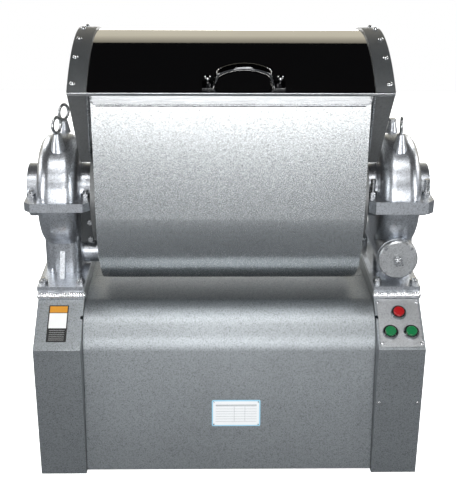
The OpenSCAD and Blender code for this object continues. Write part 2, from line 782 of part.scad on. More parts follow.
// Bearings, bushes and seals
module both_sides() {
  children();
  flip_left() children();
}
module trunnion_bushes() color("goldenrod") on_axis() both_sides()
  ring_x(boss_end_in, house_in - gap, bore_in_r - seat, sleeve_r + fit);
module shaft_bearings() color("gray") on_axis() both_sides()
  ring_x(house_out - casting_t, house_out + boss_out - casting_t - gap, bore_out_r - seat, shaft_r + fit);
module shaft_seals() color("black") on_axis() both_sides()
  ring_x(end_out + seal_w, end_out + 2 * seal_w, sleeve_bore_r - seat, shaft_r + fit);
module pinion_bearings() color("gray") flip_left() translate([0, 0, pinion_h]) {
  near = neck_in - pinion_boss_in + casting_t;
  far = neck_out - casting_t / 2;
  ring_x(near + gap, near + pinion_bearing_w, pinion_bearing_r, pinion_shaft_r + fit);
  ring_x(far - pinion_bearing_w * 0.9, far - gap, pinion_bearing_r, pinion_shaft_r + fit);
}
module worm_bearings() color("gray") translate([worm_x, 0, worm_h])
  for (s = [-1, 1]) translate([0, s * (case_half - casting_t - worm_bearing_w / 2 - gap), 0])
    ring_y(-worm_bearing_w / 2, worm_bearing_w / 2, case_bore_r - seat, journal_r + fit);

// Half of one tooth as angles at root, pitch and tip, for a tooth whose pitch width is w
function tooth_points(r, w, n, i) =
  let (a = 360 * i / n, root = r - 1.25 * tooth_m, tip = r + tooth_m,
       half = 90 * w / (PI * r), wide = half * 1.45, thin = half * 0.5)
  [[root * cos(a - wide), root * sin(a - wide)], [r * cos(a - half), r * sin(a - half)],
   [tip * cos(a - thin), tip * sin(a - thin)], [tip * cos(a + thin), tip * sin(a + thin)],
   [r * cos(a + half), r * sin(a + half)], [root * cos(a + wide), root * sin(a + wide)]];
module toothed(r, w, n) polygon([for (i = [0:n - 1]) each tooth_points(r, w, n, i)]);

module main_gear() color("gray") flip_left() on_axis() difference() {
  span_x(gear_in, gear_in + gear_w) rotate(90 + 180 / gear_teeth) toothed(gear_r, tooth_w, gear_teeth);
  rod_x(gear_in - over, gear_in + gear_w + over, shaft_r + seat);
  for (a = [0:60:300]) rotate([a, 0, 0]) translate([0, 0, gear_r * 0.62])
    rod_x(gear_in - over, gear_in + gear_w + over, gear_r * 0.17);
}
module pinion_shaft() color("gray") flip_left() translate([0, 0, pinion_h]) {
  span_x(gear_in, gear_in + gear_w) rotate(90) toothed(pinion_r, tooth_w, pinion_teeth);
  rod_x(neck_in - pinion_boss_in + casting_t + gap, neck_out - casting_t / 2 - 2 * gap, pinion_shaft_r);
}
// A grooved pulley for n belts, drawn about the X axis from X = 0
module grooved_pulley(r, n, w, pitch, bw, bore) difference() {
  rod_x(0, w, r);
  for (i = [0:n - 1]) translate([w / 2 + (i - (n - 1) / 2) * pitch, 0, 0])
    ring_x(-bw / 2 - gap, bw / 2 + gap, r + over, r - groove_d);
  rod_x(-over, w + over, bore);
}
module pinion_pulley() color("dimgray") flip_left() translate([pulley_in, 0, pinion_h])
  grooved_pulley(pulley_r, 2, pulley_w, belt_pitch, belt_w, pinion_shaft_r + seat);
module gearbox_pulley() color("dimgray") flip_left() translate([0, 0, drive_h]) {
  translate([pulley_in, 0, 0])
    grooved_pulley(box_pulley_r, 2, pulley_w, belt_pitch, belt_w, box_shaft_r - gap);
  rod_x(box_end + gap, pulley_in + pulley_w + over, box_shaft_r);
}

// Outline of a belt round two pulleys that lie apart along Y of the drawing
function belt_points(r0, r1, d, n) =
  let (a = asin((r0 - r1) / d))
  concat(arc([0, 0], r0, -180 - a, a, n), arc([0, d], r1, a, 180 - a, n));
module belt_loop(r0, r1, d) {
  difference() {
    polygon(belt_points(r0 + belt_t, r1 + belt_t, d, 16));
    polygon(belt_points(r0, r1, d, 16));
  }
}
module drive_belts() color("black") flip_left() for (k = [-1, 1])
  translate([pulley_in + pulley_w / 2 + k * belt_pitch / 2, 0, drive_h])
    span_x(-belt_w / 2, belt_w / 2)
      belt_loop(box_pulley_r - groove_d + gap, pulley_r - groove_d + gap, pinion_h - drive_h);

// A finned motor body drawn about the X axis from X = 0
module motor_body(r, len, fan) {
  span_x(0, len) difference() {
    circle(r);
    for (i = [0:fin_count - 1]) rotate(360 * (i + 0.5) / fin_count) translate([r, 0])
      square([2 * fin_d, PI * r / fin_count], center = true);
  }
  rod_x(len - gap, len + fan, r + stand_t);
  rod_x(-bed_t, gap, r + stand_t);
}
module drive_gearbox() color("slategray") translate([-box_end, 0, drive_h]) {
  rod_x(0, box_len, box_r);
  rod_x(box_len - bed_t, box_len, motor_r + stand_t);
  block([bed_t, -foot_w / 2, bar_h + bed_t - drive_h], [box_len - bed_t, foot_w / 2, 0]);
}
module drive_motor() color("slategray") translate([-box_end + box_len + bed_t, 0, drive_h]) {
  motor_body(motor_r, motor_len, fan_len);
  block([motor_len / 4, -foot_w / 3, motor_r - fin_d], [motor_len * 0.7, foot_w / 3, motor_r + foot_w / 4]);
}
module tilt_motor() color("slategray")
  translate([tilt_x, tilt_belt_y - tilt_pulley_w - tilt_motor_len, tilt_h]) {
  rotate([0, 0, 90]) translate([bed_t + fan_len, 0, 0]) rotate([0, 0, 180]) mirror([1, 0, 0])
    motor_body(tilt_motor_r, tilt_motor_len - fan_len - 2 * bed_t, bed_t);
  rod_y(0, fan_len + gap, tilt_motor_r);
  block([-foot_w / 2, fan_len + bed_t, bar_h + bed_t - tilt_h],
    [foot_w / 2, tilt_motor_len - 3 * bed_t, -tilt_motor_r / 2]);
}
module tilt_motor_pulley() color("dimgray") translate([tilt_x, 0, tilt_h]) {
  translate([0, tilt_belt_y + tilt_pulley_w / 2, 0]) rotate([0, 0, -90])
    grooved_pulley(tilt_pulley_r, 1, tilt_pulley_w, 0, tilt_belt_w, pinion_shaft_r - gap);
  rod_y(tilt_belt_y - tilt_pulley_w + gap, tilt_belt_y + tilt_pulley_w / 2, pinion_shaft_r);
}
// The tilt belt leans from the motor in the bay up to the worm
module tilt_belt() color("black") translate([tilt_x, 0, tilt_h]) {
  dx = worm_x - tilt_x;
  dz = worm_h - tilt_h;
  rotate([0, atan2(dx, dz), 0]) span_y(tilt_belt_y - tilt_belt_w / 2, tilt_belt_y + tilt_belt_w / 2)
    belt_loop(tilt_pulley_r - groove_d + gap, tilt_pulley_r - groove_d + gap, sqrt(dx * dx + dz * dz));
}

// Worm: one thread, drawn as a cam section twisted along the axis
function cam(i, n) = let (a = 360 * i / n - 180, x = abs(a) / 360 * lead,
  half = thread_w / 2, flank = tan(20) * tooth_m,
  r = x < half - flank ? worm_r + tooth_m : x > half + flank ? worm_r - 1.2 * tooth_m
    : worm_r - (x - half) / flank * tooth_m) [r * cos(a), r * sin(a)];
module worm_thread() translate([0, 0, -worm_len / 2])
  linear_extrude(worm_len, twist = 360 * worm_turns, slices = 14 * worm_turns, segments = 20, $fn = 20)
    rotate(180 * worm_turns) polygon([for (i = [0:19]) cam(i, 20)]);
module worm_shaft() color("gray") translate([worm_x, 0, worm_h]) {
  rotate([-90, 0, 0]) rotate(worm_phase) worm_thread();
  rod_y(-case_half + casting_t / 2, tilt_belt_y + tilt_pulley_w, journal_r);
}
module worm_pulley() color("dimgray") translate([worm_x, tilt_belt_y + tilt_pulley_w / 2, worm_h])
  rotate([0, 0, -90]) grooved_pulley(tilt_pulley_r, 1, tilt_pulley_w, 0, tilt_belt_w, journal_r + seat);

// Sheet cover over the worm pulley, seated on the rear shoulder
module guard_shape(f, z0) translate([worm_x, 0, 0]) {
  translate([-guard_w / 2 + f, z0]) square([guard_w - 2 * f, worm_h - z0]);
  translate([0, worm_h]) circle(guard_w / 2 - f);
}
module belt_guard() color("silver") difference() {
  span_y(guard_y0, guard_y1) guard_shape(0, knee_h);
  span_y(guard_y0 + guard_t, guard_y1 - guard_t) guard_shape(guard_t, knee_h - over);
  translate([worm_x, 0, worm_h]) rod_y(guard_y0 - over, guard_y0 + over, journal_r + 2 * gap);
  span_x(column_in - over, stand_w / 2 + over) polygon(concat(column_outline(-gap / 2, -over)));
}
module cable_gland() color("black") on_rear(-gland_x, gland_s) difference() {
  union() {
    translate([0, 0, gap / 2]) cylinder(h = gland_r * 0.6, r = gland_r * 1.6, $fn = 6);
    translate([0, 0, gland_r * 0.6]) cylinder(h = gland_r, r1 = gland_r * 1.35, r2 = gland_r * 0.9);
    translate([0, 0, -2 * gland_r]) cylinder(h = 3 * gland_r, r = gland_r);
    translate([0, 0, -stand_t - gap - gland_r / 2]) cylinder(h = gland_r / 2, r = gland_r * 1.5, $fn = 6);
  }
  translate([0, 0, -3 * gland_r]) cylinder(h = 6 * gland_r, r = gland_r * 0.45);
}

// Trough
module trough_outline(r, h) {
  intersection() {
    circle(r, $fn = 128);
    translate([-2 * r, -2 * r]) square([4 * r, 2 * r]);
  }
  translate([-r, 0]) square([2 * r, h]);
}
module trough_shell() color("gainsboro") on_axis() span_x(-trough_half, trough_half) difference() {
  trough_outline(trough_r, mouth_h - rim_t - seat);
  trough_outline(trough_r - skin_t, mouth_h + over);
}
// An end plate with its hub and hollow trunnion, drawn on the right
module trough_end(sleeve_end) on_axis() difference() {
  union() {
    span_x(trough_half, end_out) trough_outline(trough_r, mouth_h - rim_t - seat);
    rod_x(end_out - gap, end_out + end_hub_t, end_hub_r);
    rod_x(end_out - gap, sleeve_end, sleeve_r);
  }
  rod_x(trough_half - over, sleeve_end + over, sleeve_bore_r);
}
module trough_end_left() color("gainsboro") flip_left() trough_end(sleeve_left);
module trough_end_right() color("gainsboro") trough_end(sleeve_right);
// Folded rim welded round the mouth, with a bright inner edge
module rim_plan(x, y, f) {
  square([2 * (x - f), 2 * y], center = true);
  square([2 * x, 2 * (y - f)], center = true);
  for (sx = [-1, 1], sy = [-1, 1]) translate([sx * (x - f), sy * (y - f)]) circle(f);
}
module trough_rim() color("white") on_axis() {
  translate([0, 0, mouth_h - rim_t]) linear_extrude(rim_t) difference() {
    rim_plan(rim_end, trough_r + rim_out, rim_round);
    square([2 * (trough_half - skin_t), 2 * (trough_r - skin_t)], center = true);
  }
  for (s = [0, 1]) mirror([0, s, 0]) span_y(trough_r + gap, trough_r + rim_out) {
    translate([-trough_half, mouth_h - rim_h + rim_corner])
      square([2 * trough_half, rim_h - rim_corner - rim_t / 2]);
    translate([-trough_half + rim_corner, mouth_h - rim_h])
      square([2 * (trough_half - rim_corner), rim_corner + gap]);
    for (x = [-1, 1]) translate([x * (trough_half - rim_corner), mouth_h - rim_h + rim_corner])
      circle(rim_corner);
  }
}

module worm_wheel() color("goldenrod") on_axis() difference() {
  union() {
    span_x(worm_x - wheel_w / 2, worm_x + wheel_w / 2) rotate(-90) toothed(wheel_r, thread_w, wheel_teeth);
    rod_x(worm_x - wheel_w / 2, sleeve_right, end_hub_r - 2 * end_hub_t);
  }
  rod_x(worm_x - wheel_w, sleeve_right + over, sleeve_r + seat);
}

// Lid
function web_x(r) = web_low_x + (r - web_low_r) * (band_in - web_low_x) / (band_r - web_low_r);
module hood_wedge() rotate([90, 0, 90]) linear_extrude(4 * stand_w, center = true)
  polygon(concat([[0, 0]], arc([0, 0], 2 * band_r, 90 - hood_angle, 90 + hood_angle, 4)));
module lid_sheet() color("black") on_axis() span_x(-web_x(sheet_r) - web_t, web_x(sheet_r) + web_t)
  ring_sector(sheet_r, sheet_r - hood_t, 90 - hood_angle, 90 + hood_angle);
// A coned plate of thickness t whose outer face lies at x past the web line
module coned_plate(x, t, r0, r1) turn_x() polygon([[r0, web_x(r0) + x - t], [r1, web_x(r1) + x - t],
  [r1, web_x(r1) + x], [r0, web_x(r0) + x]]);
module lid_side_plates() color("white") on_axis() both_sides() intersection() {
  coned_plate(0, side_t, hub_r + gap, sheet_r - hood_t - gap);
  hood_wedge();
}
// Cast cheek: coned web, rim flange, tapered end flanges and hub ring, drawn on the right
module lid_cheek() on_axis() {
  intersection() {
    union() {
      coned_plate(web_t, web_t - gap, web_low_r, sheet_r - hood_t - gap);
      span_x(web_x(sheet_r) + 1.5 * web_t, band_out) difference() {
        circle(sheet_r, $fn = 128);
        circle(sheet_r - rim_flange_t, $fn = 128);
      }
      translate([web_x(sheet_r - 2 * rim_flange_t) + gap, 0, 0]) turn_x()
        translate([sheet_r - 2 * rim_flange_t, 0]) square([2 * rim_flange_t - hood_t - gap, 2 * web_t]);
      rod_x(hub_in, web_low_x + web_t, hub_r);
    }
    hood_wedge();
    difference() {
      rod_x(0, 2 * stand_w, 2 * band_r);
      rod_x(-over, 2 * stand_w + over, web_low_r - gap);
    }
  }
  difference() {
    rod_x(hub_in, hub_out, hub_r);
    rod_x(hub_in - over, hub_out + over, boss_r + fit + bush_t + seat);
  }
  for (s = [-1, 1]) rotate([s * hood_angle, 0, 0]) translate([0, s > 0 ? 0 : -flange_t, 0])
    span_y(0, flange_t) polygon([[web_low_x + gap, web_low_r],
      [web_x(sheet_r - hood_t), sheet_r - hood_t - gap],
      [web_x(sheet_r) + 1.5 * web_t, sheet_r - hood_t - gap], [web_x(sheet_r) + 1.5 * web_t, sheet_r],
      [band_out, sheet_r], [band_out, web_low_r]]);
}
module lid_cheek_left() color("dimgray") flip_left() lid_cheek();
module lid_cheek_right() color("dimgray") lid_cheek();
function rivet_angle(i) = (hood_angle - rivet_end_angle) * (1 - 2 * i / (rivet_count - 1));
module lid_bands() color("dimgray") both_sides() difference() {
  on_axis() span_x(band_in, band_out)
    ring_sector(band_r, band_r - band_t, 90 - hood_angle, 90 + hood_angle);
  for (i = [0:rivet_count - 1]) on_lid(rivet_x, rivet_angle(i), band_r)
    cylinder(h = 4 * band_t, r = rivet_r + seat, center = true);
}
module lid_rivets() color("white") both_sides() for (i = [0:rivet_count - 1])
  on_lid(rivet_x, rivet_angle(i), band_r) {
    translate([0, 0, -band_t]) cylinder(h = band_t + rivet_r, r = rivet_r);
    intersection() {
      translate([0, 0, rivet_head_r - rivet_dome_r]) sphere(rivet_dome_r);
      translate([0, 0, fit]) cylinder(h = rivet_dome_r, r = rivet_head_r);
    }
  }
module lid_edges() color("white") on_axis() for (s = [-1, 1])
  rotate([s * (hood_angle + edge_t / band_r * 90 / PI), 0, 0])
    translate([-band_out, (gap - edge_t) / 2, band_r - edge_d]) cube([2 * band_out, edge_t - gap, edge_d]);
module lid_bushes() color("goldenrod") on_axis() both_sides()
  ring_x(hub_in, hub_out, boss_r + fit + bush_t, boss_r + fit);

// Section of the handle strap, with round edges
module strap() {
  square([handle_bar_t, handle_bar_w - handle_bar_t], center = true);
  for (s = [-1, 1]) translate([0, s * (handle_bar_w - handle_bar_t) / 2])
    circle(handle_bar_t / 2, $fn = 32);
}
// Part of the bow between two angles in the plane of X and Z, round a centre
module bow_bend(c, r, a0, a1) translate([c[0], 0, c[1]]) rotate([90, 0, 0]) rotate(a0)
  rotate_extrude(angle = a1 - a0) translate([r, 0]) strap();
module lid_handle() color("gainsboro") on_lid(handle_x, handle_angle, sheet_r + gap) {
  bow_bend([0, handle_rise - arch_r], arch_r, 90 - arch_angle, 90 + arch_angle);
  for (s = [0, 1]) mirror([s, 0, 0]) {
    bow_bend([(arch_r - bend_r) * sin(arch_angle), handle_rise - arch_drop - bend_r * cos(arch_angle)],
      bend_r, leg_lean, 90 - arch_angle);
    for (q = [[arch_r * sin(arch_angle), handle_rise - arch_drop],
      [arch_r * sin(arch_angle) + bend_x, bend_z - arch_drop]])
      translate([q[0], 0, q[1]]) cube(handle_bar_t / 2, center = true);
    intersection() {
      translate([arch_r * sin(arch_angle) + bend_x, 0, bend_z - arch_drop]) rotate([0, -leg_lean, 0])
        translate([0, 0, -2 * handle_rise]) linear_extrude(2 * handle_rise) strap();
      translate([0, 0, handle_rise]) cube([2 * handle_span, handle_span, 2 * handle_rise], center = true);
    }
  }
  for (s = [-1, 1]) translate([s * post_x, 0, handle_foot_t / 2]) difference() {
    cube([handle_foot_l, handle_foot_w, handle_foot_t], center = true);
    cylinder(h = 2 * handle_foot_t, r = post_r + seat, center = true);
  }
}
module handle_posts() color("gainsboro") for (s = [-1, 1])
  on_lid(handle_x + s * post_x, handle_angle, sheet_r + 2 * gap) {
    cylinder(h = post_h, r = post_r);
    translate([0, 0, handle_foot_t]) cylinder(h = post_r, r = 1.6 * post_r, $fn = 6);
    translate([0, 0, post_h]) cylinder(h = post_r, r = 1.5 * post_r);
    translate([0, 0, post_h + post_r]) cylinder(h = post_r / 2, r1 = 1.5 * post_r, r2 = post_r);
  }

// Agitator
module agitator_shaft() color("gainsboro") on_axis()
  rod_x(-house_out - casting_t, house_out + casting_t, shaft_r);
// A rod between two points
module rod(p, q, r) {
  d = q - p;
  translate(p) rotate([0, acos(d[2] / norm(d)), atan2(d[1], d[0])]) cylinder(h = norm(d), r = r);
}
module spider(x, turn) span_x(x - spider_t / 2, x + spider_t / 2) difference() {
  union() {
    circle(spider_hub_r);
    for (i = [0:bar_count - 1]) rotate(turn + 360 * i / bar_count) {
      translate([0, -arm_w / 2]) square([bar_circle_r, arm_w]);
      translate([bar_circle_r, 0]) circle(arm_end_r);
    }
  }
  circle(shaft_r + seat);
}
module agitator_cage() color("gainsboro") on_axis() {
  spider(-spider_x, 90 - bar_skew / 2);
  spider(spider_x, 90 + bar_skew / 2);
  for (i = [0:bar_count - 1]) {
    a = 90 - bar_skew / 2 + 360 * i / bar_count;
    b = a + bar_skew;
    rod([-spider_x, bar_circle_r * cos(a), bar_circle_r * sin(a)],
      [spider_x, bar_circle_r * cos(b), bar_circle_r * sin(b)], bar_r);
  }
}

left_column();
right_column();
front_panel();
rear_panel();
base_frame();
machine_bed();
left_housing();
left_housing_cap();
right_housing();
right_housing_cap();
worm_cap();
worm_cap_bolts();
eye_bolts();
breather_plug();
split_bolts();
foot_bolts();
control_plate();
plate_screws();
button_bezels();
button_bodies();
trunnion_bushes();
shaft_bearings();
pinion_bearings();
drive_belts();
drive_motor();
drive_gearbox();
worm_bearings();
tilt_motor();
tilt_belt();
belt_guard();
cable_gland();
panel_screws();
agitator_shaft();
agitator_cage();
main_gear();
pinion_shaft();
pinion_pulley();
gearbox_pulley();
trough_shell();
trough_end_left();
trough_end_right();
trough_rim();
shaft_seals();
worm_wheel();
worm_shaft();
worm_pulley();
tilt_motor_pulley();
lid_sheet();
lid_side_plates();
lid_cheek_left();
lid_cheek_right();
lid_bands();
lid_edges();
lid_rivets();
lid_bushes();
lid_handle();
handle_posts();
stop_button();
start_button();
tilt_button();
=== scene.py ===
import json
import math

import bmesh
import bpy
from mathutils import Matrix, Vector

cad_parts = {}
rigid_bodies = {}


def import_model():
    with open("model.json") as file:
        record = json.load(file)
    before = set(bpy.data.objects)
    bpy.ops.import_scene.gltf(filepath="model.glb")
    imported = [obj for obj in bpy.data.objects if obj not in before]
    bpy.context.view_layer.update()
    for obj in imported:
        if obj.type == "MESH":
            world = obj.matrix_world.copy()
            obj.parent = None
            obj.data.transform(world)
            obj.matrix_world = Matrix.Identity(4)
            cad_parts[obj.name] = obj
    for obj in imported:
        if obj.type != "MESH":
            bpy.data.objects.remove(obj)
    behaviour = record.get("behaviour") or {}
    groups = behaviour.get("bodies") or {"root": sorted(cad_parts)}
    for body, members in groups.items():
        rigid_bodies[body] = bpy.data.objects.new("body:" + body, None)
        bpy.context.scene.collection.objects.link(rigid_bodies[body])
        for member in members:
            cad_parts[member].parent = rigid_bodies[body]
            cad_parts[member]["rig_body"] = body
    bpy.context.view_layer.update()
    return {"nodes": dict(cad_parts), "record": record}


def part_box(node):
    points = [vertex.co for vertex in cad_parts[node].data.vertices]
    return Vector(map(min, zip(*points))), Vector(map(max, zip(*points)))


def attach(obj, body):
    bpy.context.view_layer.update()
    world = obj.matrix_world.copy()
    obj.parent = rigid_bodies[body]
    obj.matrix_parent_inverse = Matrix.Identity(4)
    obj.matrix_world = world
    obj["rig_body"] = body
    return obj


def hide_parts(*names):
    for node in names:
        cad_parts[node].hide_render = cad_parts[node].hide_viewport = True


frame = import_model()
cadNodes = frame["nodes"]
scene = bpy.context.scene
scene.view_settings.view_transform = "Standard"
print("frame loaded,", len(cadNodes), "nodes")


def addObject(name, data):
    obj = bpy.data.objects.new(name, data)
    scene.collection.objects.link(obj)
    return obj


# Camera at the photo's angle
cameraSetup = {
    "place": (-0.0391, -2.0110, 1.2225),
    "turn": 1.126,
    "down": 22.115,
    "roll": 0.374,
    "focalPixels": 1005.94,
    "imageHeight": 500,
    "sensor": 36.0,
    "clipEnd": 50,
}


def makeCamera(s):
    turn, down, roll = (math.radians(s[k]) for k in ("turn", "down", "roll"))
    ahead = Vector((math.sin(turn) * math.cos(down), math.cos(turn) * math.cos(down), -math.sin(down)))
    right = Vector((math.cos(turn), -math.sin(turn), 0))
    up = right.cross(ahead)
    rolledRight = math.cos(roll) * right + math.sin(roll) * up
    rolledUp = -math.sin(roll) * right + math.cos(roll) * up
    data = bpy.data.cameras.new("photoCamera")
    data.sensor_width = s["sensor"]
    data.lens = s["focalPixels"] * s["sensor"] / s["imageHeight"]
    data.clip_end = s["clipEnd"]
    axes = Matrix((rolledRight, rolledUp, -ahead)).transposed().to_4x4()
    camera = addObject("photoCamera", data)
    camera.matrix_world = Matrix.Translation(s["place"]) @ axes
    scene.camera = camera


makeCamera(cameraSetup)


# Shader nodes
def linkTo(tree, a, b):
    tree.links.new(a, b)


def addNode(tree, kind, **values):
    n = tree.nodes.new(kind)
    for k, v in values.items():
        if k in n.inputs:
            n.inputs[k].default_value = v
        else:
            setattr(n, k, v)
    return n


def mapSpan(tree, value, low, high, first=0, last=1):
    # a value that runs from low to high runs from first to last
    n = addNode(tree, "ShaderNodeMapRange", **{
        "From Min": low, "From Max": high, "To Min": first, "To Max": last})
    linkTo(tree, value, n.inputs["Value"])
    return n


def mixColors(tree, factor, first, second):
    n = addNode(tree, "ShaderNodeMix", data_type="RGBA")
    n.inputs[6].default_value, n.inputs[7].default_value = (*first, 1), (*second, 1)
    linkTo(tree, factor, n.inputs[0])
    return n


def mixShaders(tree, factor, first, second):
    n = addNode(tree, "ShaderNodeMixShader")
    linkTo(tree, factor, n.inputs["Fac"])
    linkTo(tree, first.outputs[0], n.inputs[1])
    linkTo(tree, second.outputs[0], n.inputs[2])
    return n


def heightFrom(tree, coordinates):
    parts = addNode(tree, "ShaderNodeSeparateXYZ")
    linkTo(tree, addNode(tree, "ShaderNodeTexCoord").outputs[coordinates], parts.inputs[0])
    return parts.outputs["Z"]


def emptyTree(owner):
    owner.use_nodes = True
    owner.node_tree.nodes.clear()
    return owner.node_tree


# Studio: white paper for the camera, soft lamps, and a room for the metal to mirror, grey low down and
# dark above
studio = {
    "floorSize": 14.0,
    "floorColor": (0.20, 0.21, 0.22),
    "paperWhite": 0.95,  # how white the paper stays in full shadow
    "wallDistance": 3.2,
    "wallHeight": 3.3,
    "wallShine": (0.62, 0.58, 0.48),
    "wallFade": (2.2, 3.3),  # heights between which the mirrored wall fades
    "wallTop": 0.35,  # the share of its shine that is left at the upper height
    "zenithColor": (0.004, 0.004, 0.0045),  # the hood mirrors this
    "horizonColor": (0.46, 0.48, 0.51),
    "horizonFade": (0.12, 0.42),  # sines of the heights between which the room goes dark
    "lamps": {
        # name: place, aimed at, width, height, watts
        "lowCard": ((0.05, -3.0, 0.50), (0, -0.15, 0.62), 1.9, 0.8, 20),
        "eyeStrip": ((0, -2.4, 1.05), (0, -0.15, 0.62), 1.5, 0.2, 12),
        "frontCeiling": ((0, -2.6, 2.7), (0, -0.2, 0.6), 1.8, 0.8, 23),
        "topPanel": ((0, -0.95, 2.7), (0, -0.3, 0.3), 1.5, 0.5, 24),
        "leftStrip": ((-2.2, -1.1, 1.0), (0, 0, 0.5), 0.3, 1.2, 19),
        "rightStrip": ((2.2, -1.1, 1.0), (0, 0, 0.5), 0.3, 1.2, 14),
        "leftCard": ((-2.5, 0.7, 1.3), (0, 0, 0.35), 1.2, 0.7, 9),
        "rightCard": ((2.5, 0.7, 1.3), (0, 0, 0.35), 1.2, 0.7, 9),
        "rearCard": ((0, 2.9, 0.65), (0, 0, 0.4), 2.2, 0.6, 20),
        "rearLeft": ((-2.0, 2.3, 2.1), (0, 0, 0.4), 0.9, 0.7, 32),
        "rearRight": ((2.0, 2.3, 2.1), (0, 0, 0.4), 0.9, 0.7, 32),
    },
}


def paperMaterial(name, s, mirrored):
    # the camera sees white, other rays a darker paper, and glossy rays a shining wall where it is mirrored
    m = bpy.data.materials.new(name)
    tree = emptyTree(m)
    out = addNode(tree, "ShaderNodeOutputMaterial")
    path = addNode(tree, "ShaderNodeLightPath")
    felt = addNode(tree, "ShaderNodeBsdfDiffuse", Color=(*s["floorColor"], 1))
    seen = addNode(tree, "ShaderNodeEmission", Color=(1, 1, 1, 1),
                   Strength=1 if mirrored else s["paperWhite"])
    if mirrored:
        fade = mapSpan(tree, heightFrom(tree, "Object"), *s["wallFade"], 1, s["wallTop"])
        glow = addNode(tree, "ShaderNodeEmission", Color=(*s["wallShine"], 1))
        linkTo(tree, fade.outputs["Result"], glow.inputs["Strength"])
        felt = mixShaders(tree, path.outputs["Is Glossy Ray"], felt, glow)
    else:
        lit = addNode(tree, "ShaderNodeBsdfDiffuse", Color=(1, 1, 1, 1))
        paper = addNode(tree, "ShaderNodeAddShader")
        linkTo(tree, seen.outputs[0], paper.inputs[0])
        linkTo(tree, lit.outputs[0], paper.inputs[1])
        seen = paper
    mix = mixShaders(tree, path.outputs["Is Camera Ray"], felt, seen)
    linkTo(tree, mix.outputs[0], out.inputs["Surface"])
    return m


def paperSheet(name, points, face, material):
    mesh = bpy.data.meshes.new(name)
    mesh.from_pydata(points, [], [face])
    mesh.update()
    mesh.materials.append(material)
    return addObject(name, mesh)


def makeWorld(s):
    world = bpy.data.worlds.new("studioWorld")
    scene.world = world
    tree = emptyTree(world)
    out = addNode(tree, "ShaderNodeOutputWorld")
    path = addNode(tree, "ShaderNodeLightPath")
    fade = mapSpan(tree, heightFrom(tree, "Generated"), *s["horizonFade"])
    fade.interpolation_type = "SMOOTHSTEP"
    room = mixColors(tree, fade.outputs["Result"], s["horizonColor"], s["zenithColor"])
    mirrored = addNode(tree, "ShaderNodeBackground")
    linkTo(tree, room.outputs[2], mirrored.inputs["Color"])
    white = addNode(tree, "ShaderNodeBackground", Color=(1, 1, 1, 1))
    mix = mixShaders(tree, path.outputs["Is Camera Ray"], mirrored, white)
    linkTo(tree, mix.outputs[0], out.inputs["Surface"])


def makeStudio(s):
    h, d, top = s["floorSize"] / 2, s["wallDistance"], s["wallHeight"]
    floor = paperSheet("floor", [(-h, -h, 0), (h, -h, 0), (h, h, 0), (-h, h, 0)], (0, 1, 2, 3),
                       paperMaterial("floorPaper", s, False))
    wall = paperSheet("backWall", [(-h, d, 0), (h, d, 0), (h, d, top), (-h, d, top)], (0, 3, 2, 1),
                      paperMaterial("wallPaper", s, True))
    makeWorld(s)
    for name, (place, aim, width, height, watts) in s["lamps"].items():
        data = bpy.data.lights.new(name, "AREA")
        data.shape = "RECTANGLE"
        data.size, data.size_y, data.energy = width, height, watts
        lamp = addObject(name, data)
        lamp.location = place
        lamp.visible_camera = False
        lamp.rotation_euler = (Vector(aim) - Vector(place)).to_track_quat("-Z", "Y").to_euler()


makeStudio(studio)
print("studio ready")


# Finishes, one procedural material for each
noiseSpan = (0.3, 0.7)  # a noise texture mostly stays between these
smoothest = 0.02
flakeGain = 1.6  # brings the mean grey of the flakes back up
usual = {
    # what a finish has unless its own row says otherwise, with the sizes of its patterns in metres
    "metallic": 0, "coat": 0, "coatRough": 0.1, "spread": 0.1, "sparkle": 0, "roughSpread": 0.05,
    "cloud": 0.12, "grain": 0.003, "flake": 0.002, "relief": 0.15, "depth": 0.0004,
    "stretch": None, "wave": None,
}


